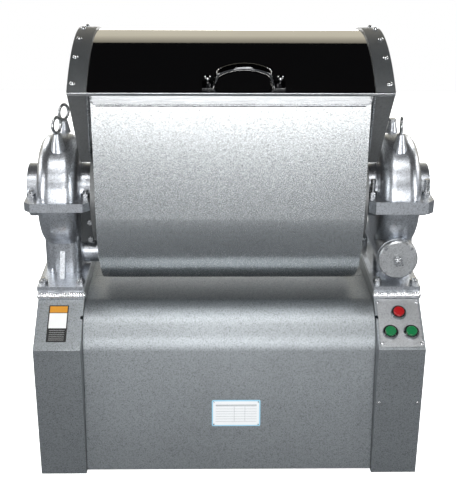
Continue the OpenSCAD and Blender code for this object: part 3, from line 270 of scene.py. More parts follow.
def makeFinish(name, own):
    s = {**usual, **own}
    m = bpy.data.materials.new(name)
    tree = emptyTree(m)
    out = addNode(tree, "ShaderNodeOutputMaterial")
    shader = addNode(tree, "ShaderNodeBsdfPrincipled", **{
        "Metallic": s["metallic"], "Coat Weight": s["coat"], "Coat Roughness": s["coatRough"]})
    linkTo(tree, shader.outputs[0], out.inputs["Surface"])
    place = addNode(tree, "ShaderNodeTexCoord").outputs["Object"]
    if s["stretch"]:  # drawn out along X, as a brushed or rolled sheet is
        drawn = addNode(tree, "ShaderNodeMapping", Scale=s["stretch"])
        linkTo(tree, place, drawn.inputs["Vector"])
        place = drawn.outputs[0]

    def pattern(kind, size, **values):
        n = addNode(tree, kind, Scale=1 / size, **values)
        linkTo(tree, place, n.inputs["Vector"])
        return n

    def relief(texture, strength, depth):
        n = addNode(tree, "ShaderNodeBump", Strength=strength, Distance=depth)
        linkTo(tree, texture.outputs["Fac"], n.inputs["Height"])
        return n

    cloud = pattern("ShaderNodeTexNoise", s["cloud"], Detail=4.0, Roughness=0.6)
    grain = pattern("ShaderNodeTexNoise", s["grain"], Detail=3.0, Roughness=0.65)
    flake = pattern("ShaderNodeTexVoronoi", s["flake"])
    # colour: a large cloud and fine flakes vary the base colour
    gain = mapSpan(tree, cloud.outputs["Fac"], *noiseSpan)
    tone = mixColors(tree, gain.outputs["Result"], [c * (1 - s["spread"]) for c in s["color"]],
                     [min(1, c * (1 + s["spread"])) for c in s["color"]])
    grey = addNode(tree, "ShaderNodeHueSaturation", Saturation=0.0, Value=flakeGain)
    linkTo(tree, flake.outputs["Color"], grey.inputs["Color"])
    spark = addNode(tree, "ShaderNodeMix", data_type="RGBA", blend_type="MULTIPLY")
    spark.inputs[0].default_value = s["sparkle"]
    linkTo(tree, tone.outputs[2], spark.inputs[6])
    linkTo(tree, grey.outputs[0], spark.inputs[7])
    linkTo(tree, spark.outputs[2], shader.inputs["Base Color"])
    # roughness follows the grain
    rough = mapSpan(tree, grain.outputs["Fac"], *noiseSpan, max(smoothest, s["rough"] - s["roughSpread"]),
                    s["rough"] + s["roughSpread"])
    linkTo(tree, rough.outputs["Result"], shader.inputs["Roughness"])
    # relief: the grain, on a sheet's slow waves where it has them
    last = relief(grain, s["relief"], s["depth"])
    if s["wave"]:
        fine, wave = last, pattern("ShaderNodeTexNoise", s["wave"], Detail=2.0, Roughness=0.5)
        last = relief(wave, s["waveRelief"], s["waveDepth"])
        linkTo(tree, fine.outputs[0], last.inputs["Normal"])
    linkTo(tree, last.outputs[0], shader.inputs["Normal"])
    return m


finishes = {
    "hammerPaint": {"color": (0.262, 0.280, 0.292), "metallic": 0.85, "rough": 0.42, "roughSpread": 0.07,
                    "grain": 0.0022, "flake": 0.0016, "sparkle": 0.48, "spread": 0.05, "cloud": 0.15,
                    "relief": 0.5, "depth": 0.0004},
    "castingPaint": {"color": (0.48, 0.50, 0.53), "metallic": 0.95, "rough": 0.31, "roughSpread": 0.05,
                     "grain": 0.0021, "flake": 0.0021, "sparkle": 0.4, "spread": 0.06, "cloud": 0.03,
                     "relief": 0.2, "depth": 0.0003},
    # painted shade: the sparkle silver paint of the hood's cheeks, darkened for the shadow they stand in
    "cheekShadedSilver": {"color": (0.20, 0.205, 0.205), "metallic": 0.7, "rough": 0.46, "roughSpread": 0.07,
                   "grain": 0.002, "flake": 0.002, "sparkle": 0.25, "spread": 0.08, "relief": 0.2,
                   "depth": 0.0003},
    "machinedFace": {"color": (0.46, 0.47, 0.48), "metallic": 1.0, "rough": 0.40, "roughSpread": 0.05,
                     "grain": 0.0014, "flake": 0.0014, "sparkle": 0.5, "spread": 0.06, "cloud": 0.02,
                     "relief": 0.3, "depth": 0.0002},
    "blastedSteel": {"color": (0.585, 0.605, 0.615), "metallic": 1.0, "rough": 0.25, "roughSpread": 0.05,
                     "grain": 0.0018, "flake": 0.0018, "sparkle": 0.38, "spread": 0.03, "cloud": 0.2,
                     "relief": 0.15, "depth": 0.0003},
    "brightSteel": {"color": (0.43, 0.44, 0.45), "metallic": 1.0, "rough": 0.24, "roughSpread": 0.06,
                    "grain": 0.0015, "flake": 0.002, "stretch": (0.6, 9, 9), "cloud": 0.03, "spread": 0.16,
                    "relief": 0.05, "depth": 0.0002},
    "mirrorSteel": {"color": (0.80, 0.79, 0.76), "metallic": 1.0, "rough": 0.045, "roughSpread": 0.015,
                    "grain": 0.01, "flake": 0.01, "spread": 0.03, "relief": 0.01, "depth": 0.0001,
                    "wave": 0.25, "waveRelief": 0.05, "waveDepth": 0.001},
    "hoodPaint": {"color": (0.075, 0.08, 0.083), "metallic": 0.35, "rough": 0.42, "roughSpread": 0.08,
                  "grain": 0.002, "flake": 0.002, "sparkle": 0.15, "spread": 0.1, "relief": 0.2,
                  "depth": 0.0003},
    "chromeFinish": {"color": (0.15, 0.15, 0.155), "metallic": 1.0, "rough": 0.06, "roughSpread": 0.02,
                     "grain": 0.004, "flake": 0.01, "relief": 0.01, "depth": 0.0001},
    "bezelChrome": {"color": (0.50, 0.51, 0.52), "metallic": 1.0, "rough": 0.12, "roughSpread": 0.04,
                    "grain": 0.002, "flake": 0.01, "relief": 0.03, "depth": 0.0001},
    "zincFinish": {"color": (0.54, 0.55, 0.56), "metallic": 1.0, "rough": 0.26, "grain": 0.002,
                   "flake": 0.002, "sparkle": 0.1, "relief": 0.15, "depth": 0.0003},
    "bronzeFinish": {"color": (0.58, 0.36, 0.16), "metallic": 1.0, "rough": 0.3, "grain": 0.002,
                     "flake": 0.004, "relief": 0.1, "depth": 0.0002},
    "toolSteel": {"color": (0.42, 0.42, 0.43), "metallic": 1.0, "rough": 0.28, "grain": 0.0015,
                  "flake": 0.003, "relief": 0.1, "depth": 0.0002},
    "pulleyIron": {"color": (0.16, 0.16, 0.17), "metallic": 0.8, "rough": 0.45, "grain": 0.0015,
                   "flake": 0.002, "relief": 0.2, "depth": 0.0003},
    "beltRubber": {"color": (0.02, 0.02, 0.02), "rough": 0.6, "grain": 0.0015, "flake": 0.002,
                   "relief": 0.3, "depth": 0.0002},
    "framePaint": {"color": (0.10, 0.105, 0.11), "metallic": 0.1, "rough": 0.5, "grain": 0.003,
                   "flake": 0.003, "relief": 0.3, "depth": 0.0004},
    "motorPaint": {"color": (0.08, 0.12, 0.17), "rough": 0.38, "grain": 0.002, "flake": 0.003,
                   "relief": 0.25, "depth": 0.0003},
    "plateAluminium": {"color": (0.38, 0.39, 0.40), "metallic": 0.9, "rough": 0.36, "grain": 0.0018,
                       "flake": 0.0018, "sparkle": 0.3, "relief": 0.15, "depth": 0.0002},
    "blackPlastic": {"color": (0.02, 0.02, 0.02), "rough": 0.5, "grain": 0.0012, "flake": 0.002,
                     "relief": 0.2, "depth": 0.0002},
    "redPlastic": {"color": (0.34, 0.002, 0.004), "rough": 0.22, "grain": 0.002, "flake": 0.01,
                   "spread": 0.06, "relief": 0.03, "depth": 0.0001, "coat": 0.3},
    "weldMetal": {"color": (0.78, 0.79, 0.81), "metallic": 1.0, "rough": 0.26, "grain": 0.0012,
                  "flake": 0.0015, "sparkle": 0.3, "relief": 0.5, "depth": 0.0004},
    "stickerBlack": {"color": (0.008, 0.008, 0.009), "rough": 0.62, "grain": 0.002, "flake": 0.01,
                     "relief": 0.05, "depth": 0.0001},
    "stickerAmber": {"color": (0.62, 0.27, 0.012), "rough": 0.36, "grain": 0.002, "flake": 0.01,
                     "spread": 0.08, "relief": 0.05, "depth": 0.0001, "coat": 0.2},
    "stickerPale": {"color": (0.84, 0.85, 0.84), "rough": 0.38, "grain": 0.002, "flake": 0.01,
                    "spread": 0.05, "relief": 0.05, "depth": 0.0001, "coat": 0.2},
    "plateField": {"color": (0.86, 0.88, 0.89), "rough": 0.40, "grain": 0.0015,
                   "flake": 0.004, "spread": 0.04, "relief": 0.08, "depth": 0.0001},
    "plateBlue": {"color": (0.36, 0.66, 0.84), "rough": 0.36, "grain": 0.0015,
                  "flake": 0.004, "spread": 0.06, "relief": 0.08, "depth": 0.0001},
    "plateInk": {"color": (0.10, 0.12, 0.14), "rough": 0.45, "grain": 0.001, "flake": 0.003,
                 "spread": 0.1, "relief": 0.05, "depth": 0.0001},
    "greenPlastic": {"color": (0.000, 0.145, 0.040), "rough": 0.22, "grain": 0.002, "flake": 0.01,
                     "spread": 0.06, "relief": 0.03, "depth": 0.0001, "coat": 0.3},
}
slotFinish = {
    "hammer_paint": "hammerPaint", "casting_paint": "castingPaint", "blasted_steel": "blastedSteel",
    "bright_steel": "brightSteel", "mirror_steel": "mirrorSteel", "hood_paint": "hoodPaint",
    "chrome": "chromeFinish", "zinc": "zincFinish", "bronze": "bronzeFinish", "tool_steel": "toolSteel",
    "pulley_iron": "pulleyIron", "belt_rubber": "beltRubber", "frame_paint": "framePaint",
    "motor_paint": "motorPaint", "plate_aluminium": "plateAluminium", "black_plastic": "blackPlastic",
    "red_plastic": "redPlastic", "green_plastic": "greenPlastic",
}
ownFinish = {
    # nodes with a finish of their own; the cheeks' finish is painted shade, a darkened copy of the sparkle
    # silver paint
    "worm_cap": "machinedFace", "button_bezels": "bezelChrome",
    "lid_cheek_left": "cheekShadedSilver", "lid_cheek_right": "cheekShadedSilver",
}
made = {name: makeFinish(name, s) for name, s in finishes.items()}
slotOf = {part["node"]: part["material_slot"] for part in frame["record"]["subparts"]}
bodyOf = {name: obj["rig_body"] for name, obj in cadNodes.items()}


def finishOf(node):
    return ownFinish.get(node, slotFinish[slotOf[node]])


for node in slotOf:
    materials = cadNodes[node].data.materials
    materials.clear()
    materials.append(made[finishOf(node)])
print("finishes on the CAD nodes")


# What every modelled piece needs
edgeRules = {"mergeWithin": 0.000004, "flatAngle": 1.0, "sharpAngle": 30.0, "turnedAngle": 40.0, "rounds": 2}


def bindPiece(obj, body, slotName, *replaced):
    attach(obj, body)
    if replaced:
        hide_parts(*replaced)


def shadeByAngle(bm, angle):
    for f in bm.faces:
        f.smooth = True
    for e in bm.edges:
        e.smooth = len(e.link_faces) == 2 and e.calc_face_angle(0.0) < math.radians(angle)


def objectFrom(bm, name, *finishNames):
    mesh = bpy.data.meshes.new(name)
    bm.to_mesh(mesh)
    bm.free()
    for finish in finishNames:
        mesh.materials.append(made[finish])
    return addObject(name, mesh)


def applyModifiers(obj):
    graph = bpy.context.evaluated_depsgraph_get()
    mesh = bpy.data.meshes.new_from_object(obj.evaluated_get(graph))
    obj.modifiers.clear()
    obj.data = mesh
    return obj


def softenEdges(obj, width, rules, harden=False):
    bevel = obj.modifiers.new("edges", "BEVEL")
    bevel.width, bevel.segments = width, rules["rounds"]
    bevel.limit_method, bevel.angle_limit = "ANGLE", math.radians(rules["sharpAngle"])
    bevel.harden_normals = harden
    bevel.use_clamp_overlap = True
    applyModifiers(obj)


# Edges: visible sheet and cast pieces stand in for their nodes with softly broken edges
edgeBreaks = {
    # node: how far each edge is broken, in metres
    "left_column": 0.0020, "right_column": 0.0020, "front_panel": 0.0008, "rear_panel": 0.0008,
    "trough_rim": 0.0010, "lid_cheek_left": 0.0012, "lid_cheek_right": 0.0012,
    "lid_bands": 0.0009, "lid_edges": 0.0010, "control_plate": 0.0005,
    "worm_cap": 0.0012, "left_housing": 0.0012, "left_housing_cap": 0.0012,
    "right_housing": 0.0012, "right_housing_cap": 0.0012, "machine_bed": 0.0010,
    "belt_guard": 0.0006, "base_frame": 0.0010,
}


def breakEdges(node, width, rules):
    bm = bmesh.new()
    bm.from_mesh(cadNodes[node].data)
    bmesh.ops.remove_doubles(bm, verts=bm.verts, dist=rules["mergeWithin"])
    bmesh.ops.dissolve_limit(bm, angle_limit=math.radians(rules["flatAngle"]), verts=bm.verts, edges=bm.edges)
    shadeByAngle(bm, rules["sharpAngle"])
    obj = objectFrom(bm, node + "Soft", finishOf(node))
    softenEdges(obj, width, rules, harden=True)
    bindPiece(obj, bodyOf[node], slotOf[node], node)


for node, width in edgeBreaks.items():
    breakEdges(node, width, edgeRules)
print("edges broken")


# Geometry Nodes trees, one for each thing that repeats or follows a path
dropShape = {"levels": 2, "smallest": (0.55, 0.80, 0.80), "largest": (0.85, 1.15, 1.12)}  # in radii
rodSides = 12


def newTree(name, sockets):
    tree = bpy.data.node_groups.new(name, "GeometryNodeTree")
    tree.interface.new_socket(name="Geometry", in_out="OUTPUT", socket_type="NodeSocketGeometry")
    tree.interface.new_socket(name="Geometry", in_out="INPUT", socket_type="NodeSocketGeometry")
    for label, kind in sockets.items():
        tree.interface.new_socket(name=label, in_out="INPUT", socket_type="NodeSocket" + kind)
    return tree, addNode(tree, "NodeGroupInput"), addNode(tree, "NodeGroupOutput")


def closeTree(tree, last, given, out):
    # instances made real and given their finish
    real = addNode(tree, "GeometryNodeRealizeInstances")
    finish = addNode(tree, "GeometryNodeSetMaterial")
    linkTo(tree, last, real.inputs[0])
    linkTo(tree, real.outputs[0], finish.inputs["Geometry"])
    linkTo(tree, given.outputs["Finish"], finish.inputs["Material"])
    linkTo(tree, finish.outputs[0], out.inputs[0])
    return tree


def beadTree(shape):
    # a weld: overlapping squashed drops along a path
    tree, given, out = newTree("weldBead", {"Radius": "Float", "Step": "Float", "Seed": "Int",
                                            "Finish": "Material"})
    path = addNode(tree, "GeometryNodeMeshToCurve")
    stops = addNode(tree, "GeometryNodeResampleCurve", mode="LENGTH")
    drop = addNode(tree, "GeometryNodeMeshIcoSphere", Subdivisions=shape["levels"], Radius=1.0)
    tangent = addNode(tree, "GeometryNodeInputTangent")
    along = addNode(tree, "FunctionNodeAlignRotationToVector", axis="X")
    vary = addNode(tree, "FunctionNodeRandomValue", data_type="FLOAT_VECTOR", Min=shape["smallest"],
                   Max=shape["largest"])
    grown = addNode(tree, "ShaderNodeVectorMath", operation="SCALE")
    drops = addNode(tree, "GeometryNodeInstanceOnPoints")
    smooth = addNode(tree, "GeometryNodeSetShadeSmooth")
    linkTo(tree, given.outputs["Geometry"], path.inputs[0])
    linkTo(tree, path.outputs[0], stops.inputs["Curve"])
    linkTo(tree, given.outputs["Step"], stops.inputs["Length"])
    linkTo(tree, stops.outputs[0], drops.inputs["Points"])
    linkTo(tree, drop.outputs["Mesh"], smooth.inputs[0])
    linkTo(tree, smooth.outputs[0], drops.inputs["Instance"])
    linkTo(tree, tangent.outputs[0], along.inputs["Vector"])
    linkTo(tree, along.outputs[0], drops.inputs["Rotation"])
    linkTo(tree, given.outputs["Seed"], vary.inputs["Seed"])
    linkTo(tree, vary.outputs["Value"], grown.inputs[0])
    linkTo(tree, given.outputs["Radius"], grown.inputs["Scale"])
    linkTo(tree, grown.outputs[0], drops.inputs["Scale"])
    return closeTree(tree, drops.outputs[0], given, out)


def rodTree(sides):
    # a round wire or rolled edge along a path
    tree, given, out = newTree("rolledEdge", {"Radius": "Float", "Finish": "Material"})
    path = addNode(tree, "GeometryNodeMeshToCurve")
    ring = addNode(tree, "GeometryNodeCurvePrimitiveCircle", Resolution=sides)
    body = addNode(tree, "GeometryNodeCurveToMesh", **{"Fill Caps": True})
    smooth = addNode(tree, "GeometryNodeSetShadeSmooth")
    linkTo(tree, given.outputs["Geometry"], path.inputs[0])
    linkTo(tree, path.outputs[0], body.inputs["Curve"])
    linkTo(tree, given.outputs["Radius"], ring.inputs["Radius"])
    linkTo(tree, ring.outputs[0], body.inputs["Profile Curve"])
    linkTo(tree, body.outputs[0], smooth.inputs[0])
    return closeTree(tree, smooth.outputs[0], given, out)


def fastenerTree():
    # one modelled screw or rivet set on every point, turned to its seat
    tree, given, out = newTree("fasteners", {"Fastener": "Object", "Turn": "Rotation", "Size": "Float",
                                             "Finish": "Material"})
    model = addNode(tree, "GeometryNodeObjectInfo")
    seats = addNode(tree, "GeometryNodeInstanceOnPoints")
    linkTo(tree, given.outputs["Fastener"], model.inputs["Object"])
    linkTo(tree, given.outputs["Geometry"], seats.inputs["Points"])
    linkTo(tree, model.outputs["Geometry"], seats.inputs["Instance"])
    linkTo(tree, given.outputs["Turn"], seats.inputs["Rotation"])
    linkTo(tree, given.outputs["Size"], seats.inputs["Scale"])
    return closeTree(tree, seats.outputs[0], given, out)


trees = {"bead": beadTree(dropShape), "rod": rodTree(rodSides), "fastener": fastenerTree()}


def growPiece(name, points, edges, tree, settings):
    # runs a tree on a wire or on points, and keeps the result as a plain mesh
    mesh = bpy.data.meshes.new(name)
    mesh.from_pydata([tuple(q) for q in points], edges, [])
    obj = addObject(name, mesh)
    grow = obj.modifiers.new("grow", "NODES")
    grow.node_group = tree
    for item in tree.interface.items_tree:
        if item.in_out == "INPUT" and item.name in settings:
            grow[item.identifier] = settings[item.name]
    return applyModifiers(obj)


def growWires(name, runs, tree, settings, body, slotName):
    points, edges = [], []
    for run in runs:
        first = len(points)
        points += run
        edges += [(first + i, first + i + 1) for i in range(len(run) - 1)]
    bindPiece(growPiece(name, points, edges, tree, settings), body, slotName)


# Welds between each mounting pad and its column, as a bright rough strip
columnWelds = {
    "front": -0.1375, "rear": 0.1375, "side": 0.3875, "inner": 0.2985, "height": 0.3612,
    "radius": 0.0084, "step": 0.0046,
    "places": (("left", -1, 3), ("right", 1, 8)),  # name, side of the middle plane, seed of the drops
}


def makeColumnWelds(w):
    for side, sign, seed in w["places"]:
        runs = [[Vector((sign * x, y, w["height"])) for x in (w["inner"], w["side"])]
                for y in (w["front"], w["rear"])]
        growWires(side + "PadWeld", runs, trees["bead"],
                  {"Radius": w["radius"], "Step": w["step"], "Seed": seed, "Finish": made["weldMetal"]},
                  "stand", "zinc")


makeColumnWelds(columnWelds)
print("welds made")


# Rolled lower edge of the folded rim, front and rear
rimEdge = {"radius": 0.0017, "corner": 0.009, "inset": 0.0012, "arcSteps": 6}


def makeRimEdge(s):
    low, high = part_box("trough_rim")
    left, right, foot = low.x + s["inset"], high.x - s["inset"], low.z + s["inset"]
    runs = []
    for y in (low.y + s["inset"], high.y - s["inset"]):
        run = [Vector((left, y, high.z - s["radius"]))]
        for x, turn in ((left + s["corner"], 0), (right - s["corner"], 1)):
            for k in range(s["arcSteps"] + 1):
                angle = math.pi + (math.pi / 2) * (k / s["arcSteps"] + turn)
                run.append(Vector((x + s["corner"] * math.cos(angle), y,
                                   foot + s["corner"] * (1 + math.sin(angle)))))
        run.append(Vector((right, y, high.z - s["radius"])))
        runs.append(run)
    growWires("rimRolledEdge", runs, trees["rod"], {"Radius": s["radius"], "Finish": made["brightSteel"]},
              "trough", "bright_steel")


makeRimEdge(rimEdge)
print("rim edge rolled")


# Dark line under the rim, on the skin of the trough: painted shadow of the rim, made as a row of dark drops
rimPaintedShadow = {"radius": 0.0013, "step": 0.0016, "below": 0.0052, "inset": 0.006, "seed": 5}


def makeRimPaintedShadow(s):
    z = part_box("trough_rim")[0].z - s["below"]
    skinLow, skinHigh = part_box("trough_shell")
    runs = [[Vector((skinLow.x + s["inset"], y, z)), Vector((skinHigh.x - s["inset"], y, z))]
            for y in (skinLow.y, skinHigh.y)]
    # painted shadow: dark rubber drops along the shell where the rim's shadow falls
    growWires("rimSealLine", runs, trees["bead"],
              {"Radius": s["radius"], "Step": s["step"], "Seed": s["seed"], "Finish": made["beltRubber"]},
              "trough", "belt_rubber")


makeRimPaintedShadow(rimPaintedShadow)
print("rim sealed")


# Rounded hems on the open edges of the hood's side plates
sideHem = {
    "ends": ((0.112, 0.2788), (0.324, 0.2630)),  # distance from the axis and from the middle plane
    "angle": 39.7, "axisHeight": 0.544, "radius": 0.0020,
}


def makeSideHems(s):
    a = math.radians(s["angle"])
    runs = [[Vector((sx * x, sy * reach * math.sin(a), s["axisHeight"] + reach * math.cos(a)))
             for reach, x in s["ends"]] for sx in (-1, 1) for sy in (-1, 1)]
    growWires("sidePlateHems", runs, trees["rod"], {"Radius": s["radius"], "Finish": made["zincFinish"]},
              "lid", "bright_steel")


makeSideHems(sideHem)
print("side hems made")


# Flat cards laid in layers: the sticker on the left shoulder and the data plate, both without words.
# A card, in millimetres on its face, is left, low, right, high, lift, thickness and corner radius.
acrossX = Vector((1, 0, 0))
cardCornerSteps = 4


def layCard(bm, up, out, origin, card, finishIndex):
    x0, y0, x1, y1, lift, thick, corner = card
    ring = []
    for cx, cy, start in ((x1 - corner, y0 + corner, -90), (x1 - corner, y1 - corner, 0),
                          (x0 + corner, y1 - corner, 90), (x0 + corner, y0 + corner, 180)):
        for k in range(cardCornerSteps + 1):
            angle = math.radians(start + 90 * k / cardCornerSteps)
            ring.append((cx + corner * math.cos(angle), cy + corner * math.sin(angle)))
    low, high = ([bm.verts.new(origin + acrossX * x + up * y + out * h) for x, y in ring]
                 for h in (lift, lift + thick))
    faces = [bm.faces.new(high), bm.faces.new(low[::-1])]
    for i in range(len(ring)):
        j = (i + 1) % len(ring)
        faces.append(bm.faces.new((low[i], low[j], high[j], high[i])))
    for f in faces:
        f.material_index = finishIndex


def cardStack(name, origin, up, out, cards, finishNames):
    bm = bmesh.new()
    for finish, card in cards:
        layCard(bm, up, out, origin, [c / 1000 for c in card], finishNames.index(finish))
    return objectFrom(bm, name, *finishNames)


shoulder = {"knee": Vector((0, -0.240, 0.288)), "rise": (0, 0.102, 0.068)}  # the sloping face of both columns
shoulderUp = Vector(shoulder["rise"]).normalized()
shoulderOut = acrossX.cross(shoulderUp)

sticker = {
    "left": -366, "right": -326, "low": 19.5, "high": 104.5, "edge": 2.3, "sheet": (0.05, 0.30, 1.6),
    "amber": (87.5, 102.2), "amberSheet": (0.34, 0.05, 0.6),
    "pale": (51.0, 86.0), "paleSheet": (0.34, 0.05, 0.4),
    "lines": 6, "lineLow": 24.0, "linePitch": 4.4, "lineWidth": 0.40, "lineSheet": (0.34, 0.05, 0.15),
}


def makeSticker(s):
    l, r, e = s["left"], s["right"], s["edge"]
    cards = [("stickerBlack", (l, s["low"], r, s["high"], *s["sheet"])),
             ("stickerAmber", (l + e, s["amber"][0], r - e, s["amber"][1], *s["amberSheet"])),
             ("stickerPale", (l + e, s["pale"][0], r - e, s["pale"][1], *s["paleSheet"]))]
    for k in range(s["lines"]):
        y = s["lineLow"] + k * s["linePitch"]
        cards.append(("stickerPale", (l + 2 * e, y, r - 2 * e, y + s["lineWidth"], *s["lineSheet"])))
    card = cardStack("shoulderSticker", shoulder["knee"], shoulderUp, shoulderOut, cards,
                     ["stickerBlack", "stickerAmber", "stickerPale"])
    bindPiece(card, "stand", "black_plastic")


makeSticker(sticker)

dataPlate = {
    "middle": (14.0, 131.0), "width": 100.0, "height": 58.0, "lift": 0.02, "thick": 0.8, "corner": 3.0,
    "lean": 6.5, "foot": (-0.232, 0.004),  # degrees, and a place in Y and Z that its plane runs through
    "border": 2.6, "fieldSheet": (0.10, 1.8),  # thickness and corner radius, as for the head and the rules
    "inkLift": 0.08, "head": (2.2, 3.6), "headSheet": (0.05, 0.3), "rows": 7, "rowTop": 15.0, "rowPitch": 5.6,
    "columns": (-4.0, 18.0), "ruleWidth": 0.35, "rowSheet": (0.04, 0.1),
    "rivetInset": 4.2, "rivetSize": 0.0017,
}


def plateFrame(p):
    lean = math.radians(p["lean"])
    x, z = (c / 1000 for c in p["middle"])
    y = p["foot"][0] + (z - p["foot"][1]) * math.tan(lean)
    return (Vector((x, y, z)), Vector((0, math.sin(lean), math.cos(lean))),
            Vector((0, -math.cos(lean), math.sin(lean))))


def makeDataPlate(p):
    origin, up, out = plateFrame(p)
    w, h, b, t, top = p["width"] / 2, p["height"] / 2, p["border"], p["thick"], p["rowTop"]
    ink, low = t + p["inkLift"], top - (p["rows"] - 1) * p["rowPitch"]
    cards = [("plateBlue", (-w, -h, w, h, p["lift"], t, p["corner"])),
             ("plateField", (-w + b, -h + b, w - b, h - b, t, *p["fieldSheet"])),
             ("plateInk", (-w + 3 * b, top + p["head"][0], w - 3 * b, top + p["head"][1], ink,
                           *p["headSheet"]))]
    for k in range(p["rows"]):
        y = top - k * p["rowPitch"]
        cards.append(("plateInk", (-w + 3 * b, y, w - 3 * b, y + p["ruleWidth"], ink, *p["rowSheet"])))
    for x in p["columns"]:
        cards.append(("plateInk", (x, low, x + p["ruleWidth"], top, ink, *p["rowSheet"])))
    plate = cardStack("dataPlate", origin, up, out, cards, ["plateBlue", "plateField", "plateInk"])
    bindPiece(plate, "stand", "plate_aluminium")


makeDataPlate(dataPlate)
print("sticker and data plate laid")


# Turned fasteners: a lathe profile, with a cross recess pressed into a screw head
def lathe(name, profile, steps, recess=None):
    bm = bmesh.new()
    rings = []
    for radius, height in profile:
        if radius == 0:
            rings.append([bm.verts.new((0, 0, height))])
            continue
        ring = []
        for k in range(steps):
            a = 2 * math.pi * k / steps
            ring.append(bm.verts.new((radius * math.cos(a), radius * math.sin(a), height)))
        rings.append(ring)
    for a, b in zip(rings, rings[1:]):
        for k in range(steps):
            j = (k + 1) % steps
            if len(a) == 1:
                bm.faces.new((a[0], b[k], b[j]))
            elif len(b) == 1:
                bm.faces.new((a[k], a[j], b[0]))
            else:
                bm.faces.new((a[k], a[j], b[j], b[k]))
    if recess:
        arm, reach, depth = recess
        for v in bm.verts:
            near, far = sorted((abs(v.co.x), abs(v.co.y)))
            if v.co.z > 0 and near < arm and far < reach:
                v.co.z -= depth
    bmesh.ops.recalc_face_normals(bm, faces=bm.faces)
    shadeByAngle(bm, edgeRules["turnedAngle"])
    return objectFrom(bm, name)


def domeProfile(s):
    # from the pole down over the dome, then the shank to its end
    radius, height, shank, depth = (s[k] for k in ("radius", "height", "shank", "depth"))
    rim = -0.02 * height  # the head's edge lies a little into its seat
    profile = [(0, height)]
    for k in range(1, s["rings"] + 1):
        a = math.pi / 2 * k / s["rings"]
        profile.append((radius * math.sin(a), height * math.cos(a)))
    return profile + [(radius, rim), (shank, rim), (shank, -depth), (0, -depth)]


def setFasteners(name, model, seats, up, out, turn, size, *replaced):
    turned = Matrix((acrossX, up, out)).transposed() @ Matrix.Rotation(math.radians(turn), 3, "Z")
    settings = {"Fastener": model, "Turn": turned.to_euler(), "Size": size, "Finish": made["zincFinish"]}
    heads = growPiece(name, seats, [], trees["fastener"], settings)
    bpy.data.objects.remove(model)
    bindPiece(heads, "stand", "zinc", *replaced)


def solidsIn(node):
    # the corner points of each separate solid in a node
    bm = bmesh.new()
    bm.from_mesh(cadNodes[node].data)
    bmesh.ops.remove_doubles(bm, verts=bm.verts, dist=edgeRules["mergeWithin"])
    seen, groups = set(), []
    for start in bm.verts:
        if start in seen:
            continue
        seen.add(start)
        group, front = [], [start]
        while front:
            v = front.pop()
            group.append(v.co.copy())
            for e in v.link_edges:
                w = e.other_vert(v)
                if w not in seen:
                    seen.add(w)
                    front.append(w)
        groups.append(group)
    bm.free()
    return groups


plateScrews = {
    "radius": 0.0044, "height": 0.0022, "rings": 9, "steps": 32, "shank": 0.0018, "depth": 0.006,
    "recess": (0.00062, 0.0026, 0.0011), "turn": 24,
}
plateRivets = {"radius": 1.0, "height": 0.6, "rings": 5, "steps": 20, "shank": 0.5, "depth": 0.6}  # in radii


def makePlateScrews(s):
    seats = []
    for group in solidsIn("plate_screws"):
        middle = sum(group, Vector()) / len(group)
        top = max((q - shoulder["knee"]).dot(shoulderOut) for q in group)
        away = (middle - shoulder["knee"]).dot(shoulderOut)
        seats.append(middle + shoulderOut * (top - s["height"] - away))
    model = lathe("screwModel", domeProfile(s), s["steps"], s["recess"])
    setFasteners("plateScrewHeads", model, seats, shoulderUp, shoulderOut, s["turn"], 1.0, "plate_screws")


def makePlateRivets(s, p):
    origin, up, out = plateFrame(p)
    w, h = (p[k] / 2000 - p["rivetInset"] / 1000 for k in ("width", "height"))
    seats = [origin + Vector((x, 0, 0)) + up * y + out * (p["thick"] / 1000)
             for x in (-w, w) for y in (-h, h)]
    setFasteners("dataPlateRivets", lathe("rivetModel", domeProfile(s), s["steps"]), seats, up, out, 0,
                 p["rivetSize"])


makePlateScrews(plateScrews)
makePlateRivets(plateRivets, dataPlate)
print("screws and rivets set")


# Worm cap: a square boss with its hexagon plug, and two small pins beside it
capPlug = {
    "middle": (0.34525, -0.1283, 0.430), "boss": 0.0170, "bossThick": 0.0030, "edge": 0.0006,
    "hexRadius": 0.0056, "hexThick": 0.0042, "pinRadius": 0.0016, "pinThick": 0.0016, "pinSides": 16,
    "pinPlaces": ((-0.0055, 0.0062), (0.0060, -0.0058)), "turn": 12,
}


def prism(bm, sides, radius, middle, depth, turn):
    # a prism along -Y from its middle
    rings = []
    for y in (0, -depth):
        ring = []
        for k in range(sides):
            a = math.radians(turn) + 2 * math.pi * (k + 0.5) / sides
            ring.append(bm.verts.new(middle + Vector((radius * math.cos(a), y, radius * math.sin(a)))))
        rings.append(ring)
    bm.faces.new(rings[1])
    bm.faces.new(rings[0][::-1])
    for k in range(sides):
        j = (k + 1) % sides
        bm.faces.new((rings[0][k], rings[0][j], rings[1][j], rings[1][k]))


def finishSolid(bm, name, finish, edge, slotName):
    bmesh.ops.recalc_face_normals(bm, faces=bm.faces)
    shadeByAngle(bm, edgeRules["sharpAngle"])
    obj = objectFrom(bm, name, finish)
    softenEdges(obj, edge, edgeRules)
    bindPiece(obj, "stand", slotName)


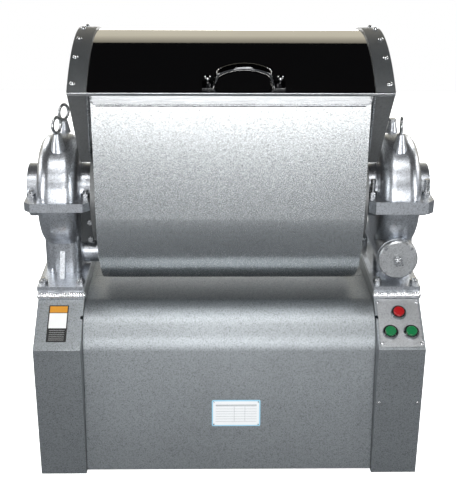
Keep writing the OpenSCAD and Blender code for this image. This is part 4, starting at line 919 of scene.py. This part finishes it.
def makeCapPlug(s):
    bm = bmesh.new()
    middle = Vector(s["middle"])
    prism(bm, 4, s["boss"] / math.sqrt(2), middle, s["bossThick"], s["turn"])
    face = middle + Vector((0, -s["bossThick"], 0))
    prism(bm, 6, s["hexRadius"], face, s["hexThick"], s["turn"])
    for x, z in s["pinPlaces"]:
        prism(bm, s["pinSides"], s["pinRadius"], face + Vector((x, 0, z)), s["pinThick"], 0)
    finishSolid(bm, "wormCapPlug", "zincFinish", s["edge"], "zinc")


makeCapPlug(capPlug)
print("worm cap plug set")


# Left housing: the web below its inner boss, with two bolts, that closes the view behind the trough. Its
# near-black hood paint is painted shade, standing in for the shadow in that gap
bossWeb = {
    "from": -0.3095, "to": -0.2812,  # 2 mm short of the lid's hub
    "halfDepth": 0.052, "axis": 0.544, "seat": 0.0545, "bottom": 0.4385, "edge": 0.0008,
    "corner": 0.014, "cornerSteps": 5, "seatSteps": 12,
    "boltX": -0.2885, "boltHeights": (0.489, 0.4515), "boltRadius": 0.0062, "boltThick": 0.0052,
    "boltSink": 0.0005, "boltTurn": 10,
}


def makeBossWeb(s):
    outline = []
    turns = [math.radians(90 * k / s["cornerSteps"]) for k in range(s["cornerSteps"] + 1)]
    for side in (-1, 1):
        y, z, r = side * (s["halfDepth"] - s["corner"]), s["bottom"] + s["corner"], s["corner"]
        arc = [(y + side * r * math.cos(a), z - r * math.sin(a)) for a in turns]
        outline += arc if side < 0 else arc[::-1]
    for k in range(s["seatSteps"] + 1):  # hollow at the top, just inside the boss
        y = s["halfDepth"] * (1 - 2 * k / s["seatSteps"])
        outline.append((y, s["axis"] - math.sqrt(s["seat"] ** 2 - y ** 2)))
    web = bmesh.new()
    first, last = ([web.verts.new((x, y, z)) for y, z in outline] for x in (s["from"], s["to"]))
    web.faces.new(first)
    web.faces.new(last[::-1])
    for k in range(len(outline)):
        j = (k + 1) % len(outline)
        web.faces.new((first[j], first[k], last[k], last[j]))
    bolts = bmesh.new()
    for z in s["boltHeights"]:
        seat = Vector((s["boltX"], s["boltSink"] - s["halfDepth"], z))
        prism(bolts, 6, s["boltRadius"], seat, s["boltThick"], s["boltTurn"])
    # painted shade: the web takes the near-black hood paint so that it reads as the shadow behind the trough
    finishSolid(web, "bossWeb", "hoodPaint", s["edge"], "casting_paint")
    finishSolid(bolts, "bossWebBolts", "zincFinish", s["edge"], "zinc")


makeBossWeb(bossWeb)
print("boss web and bolts set")
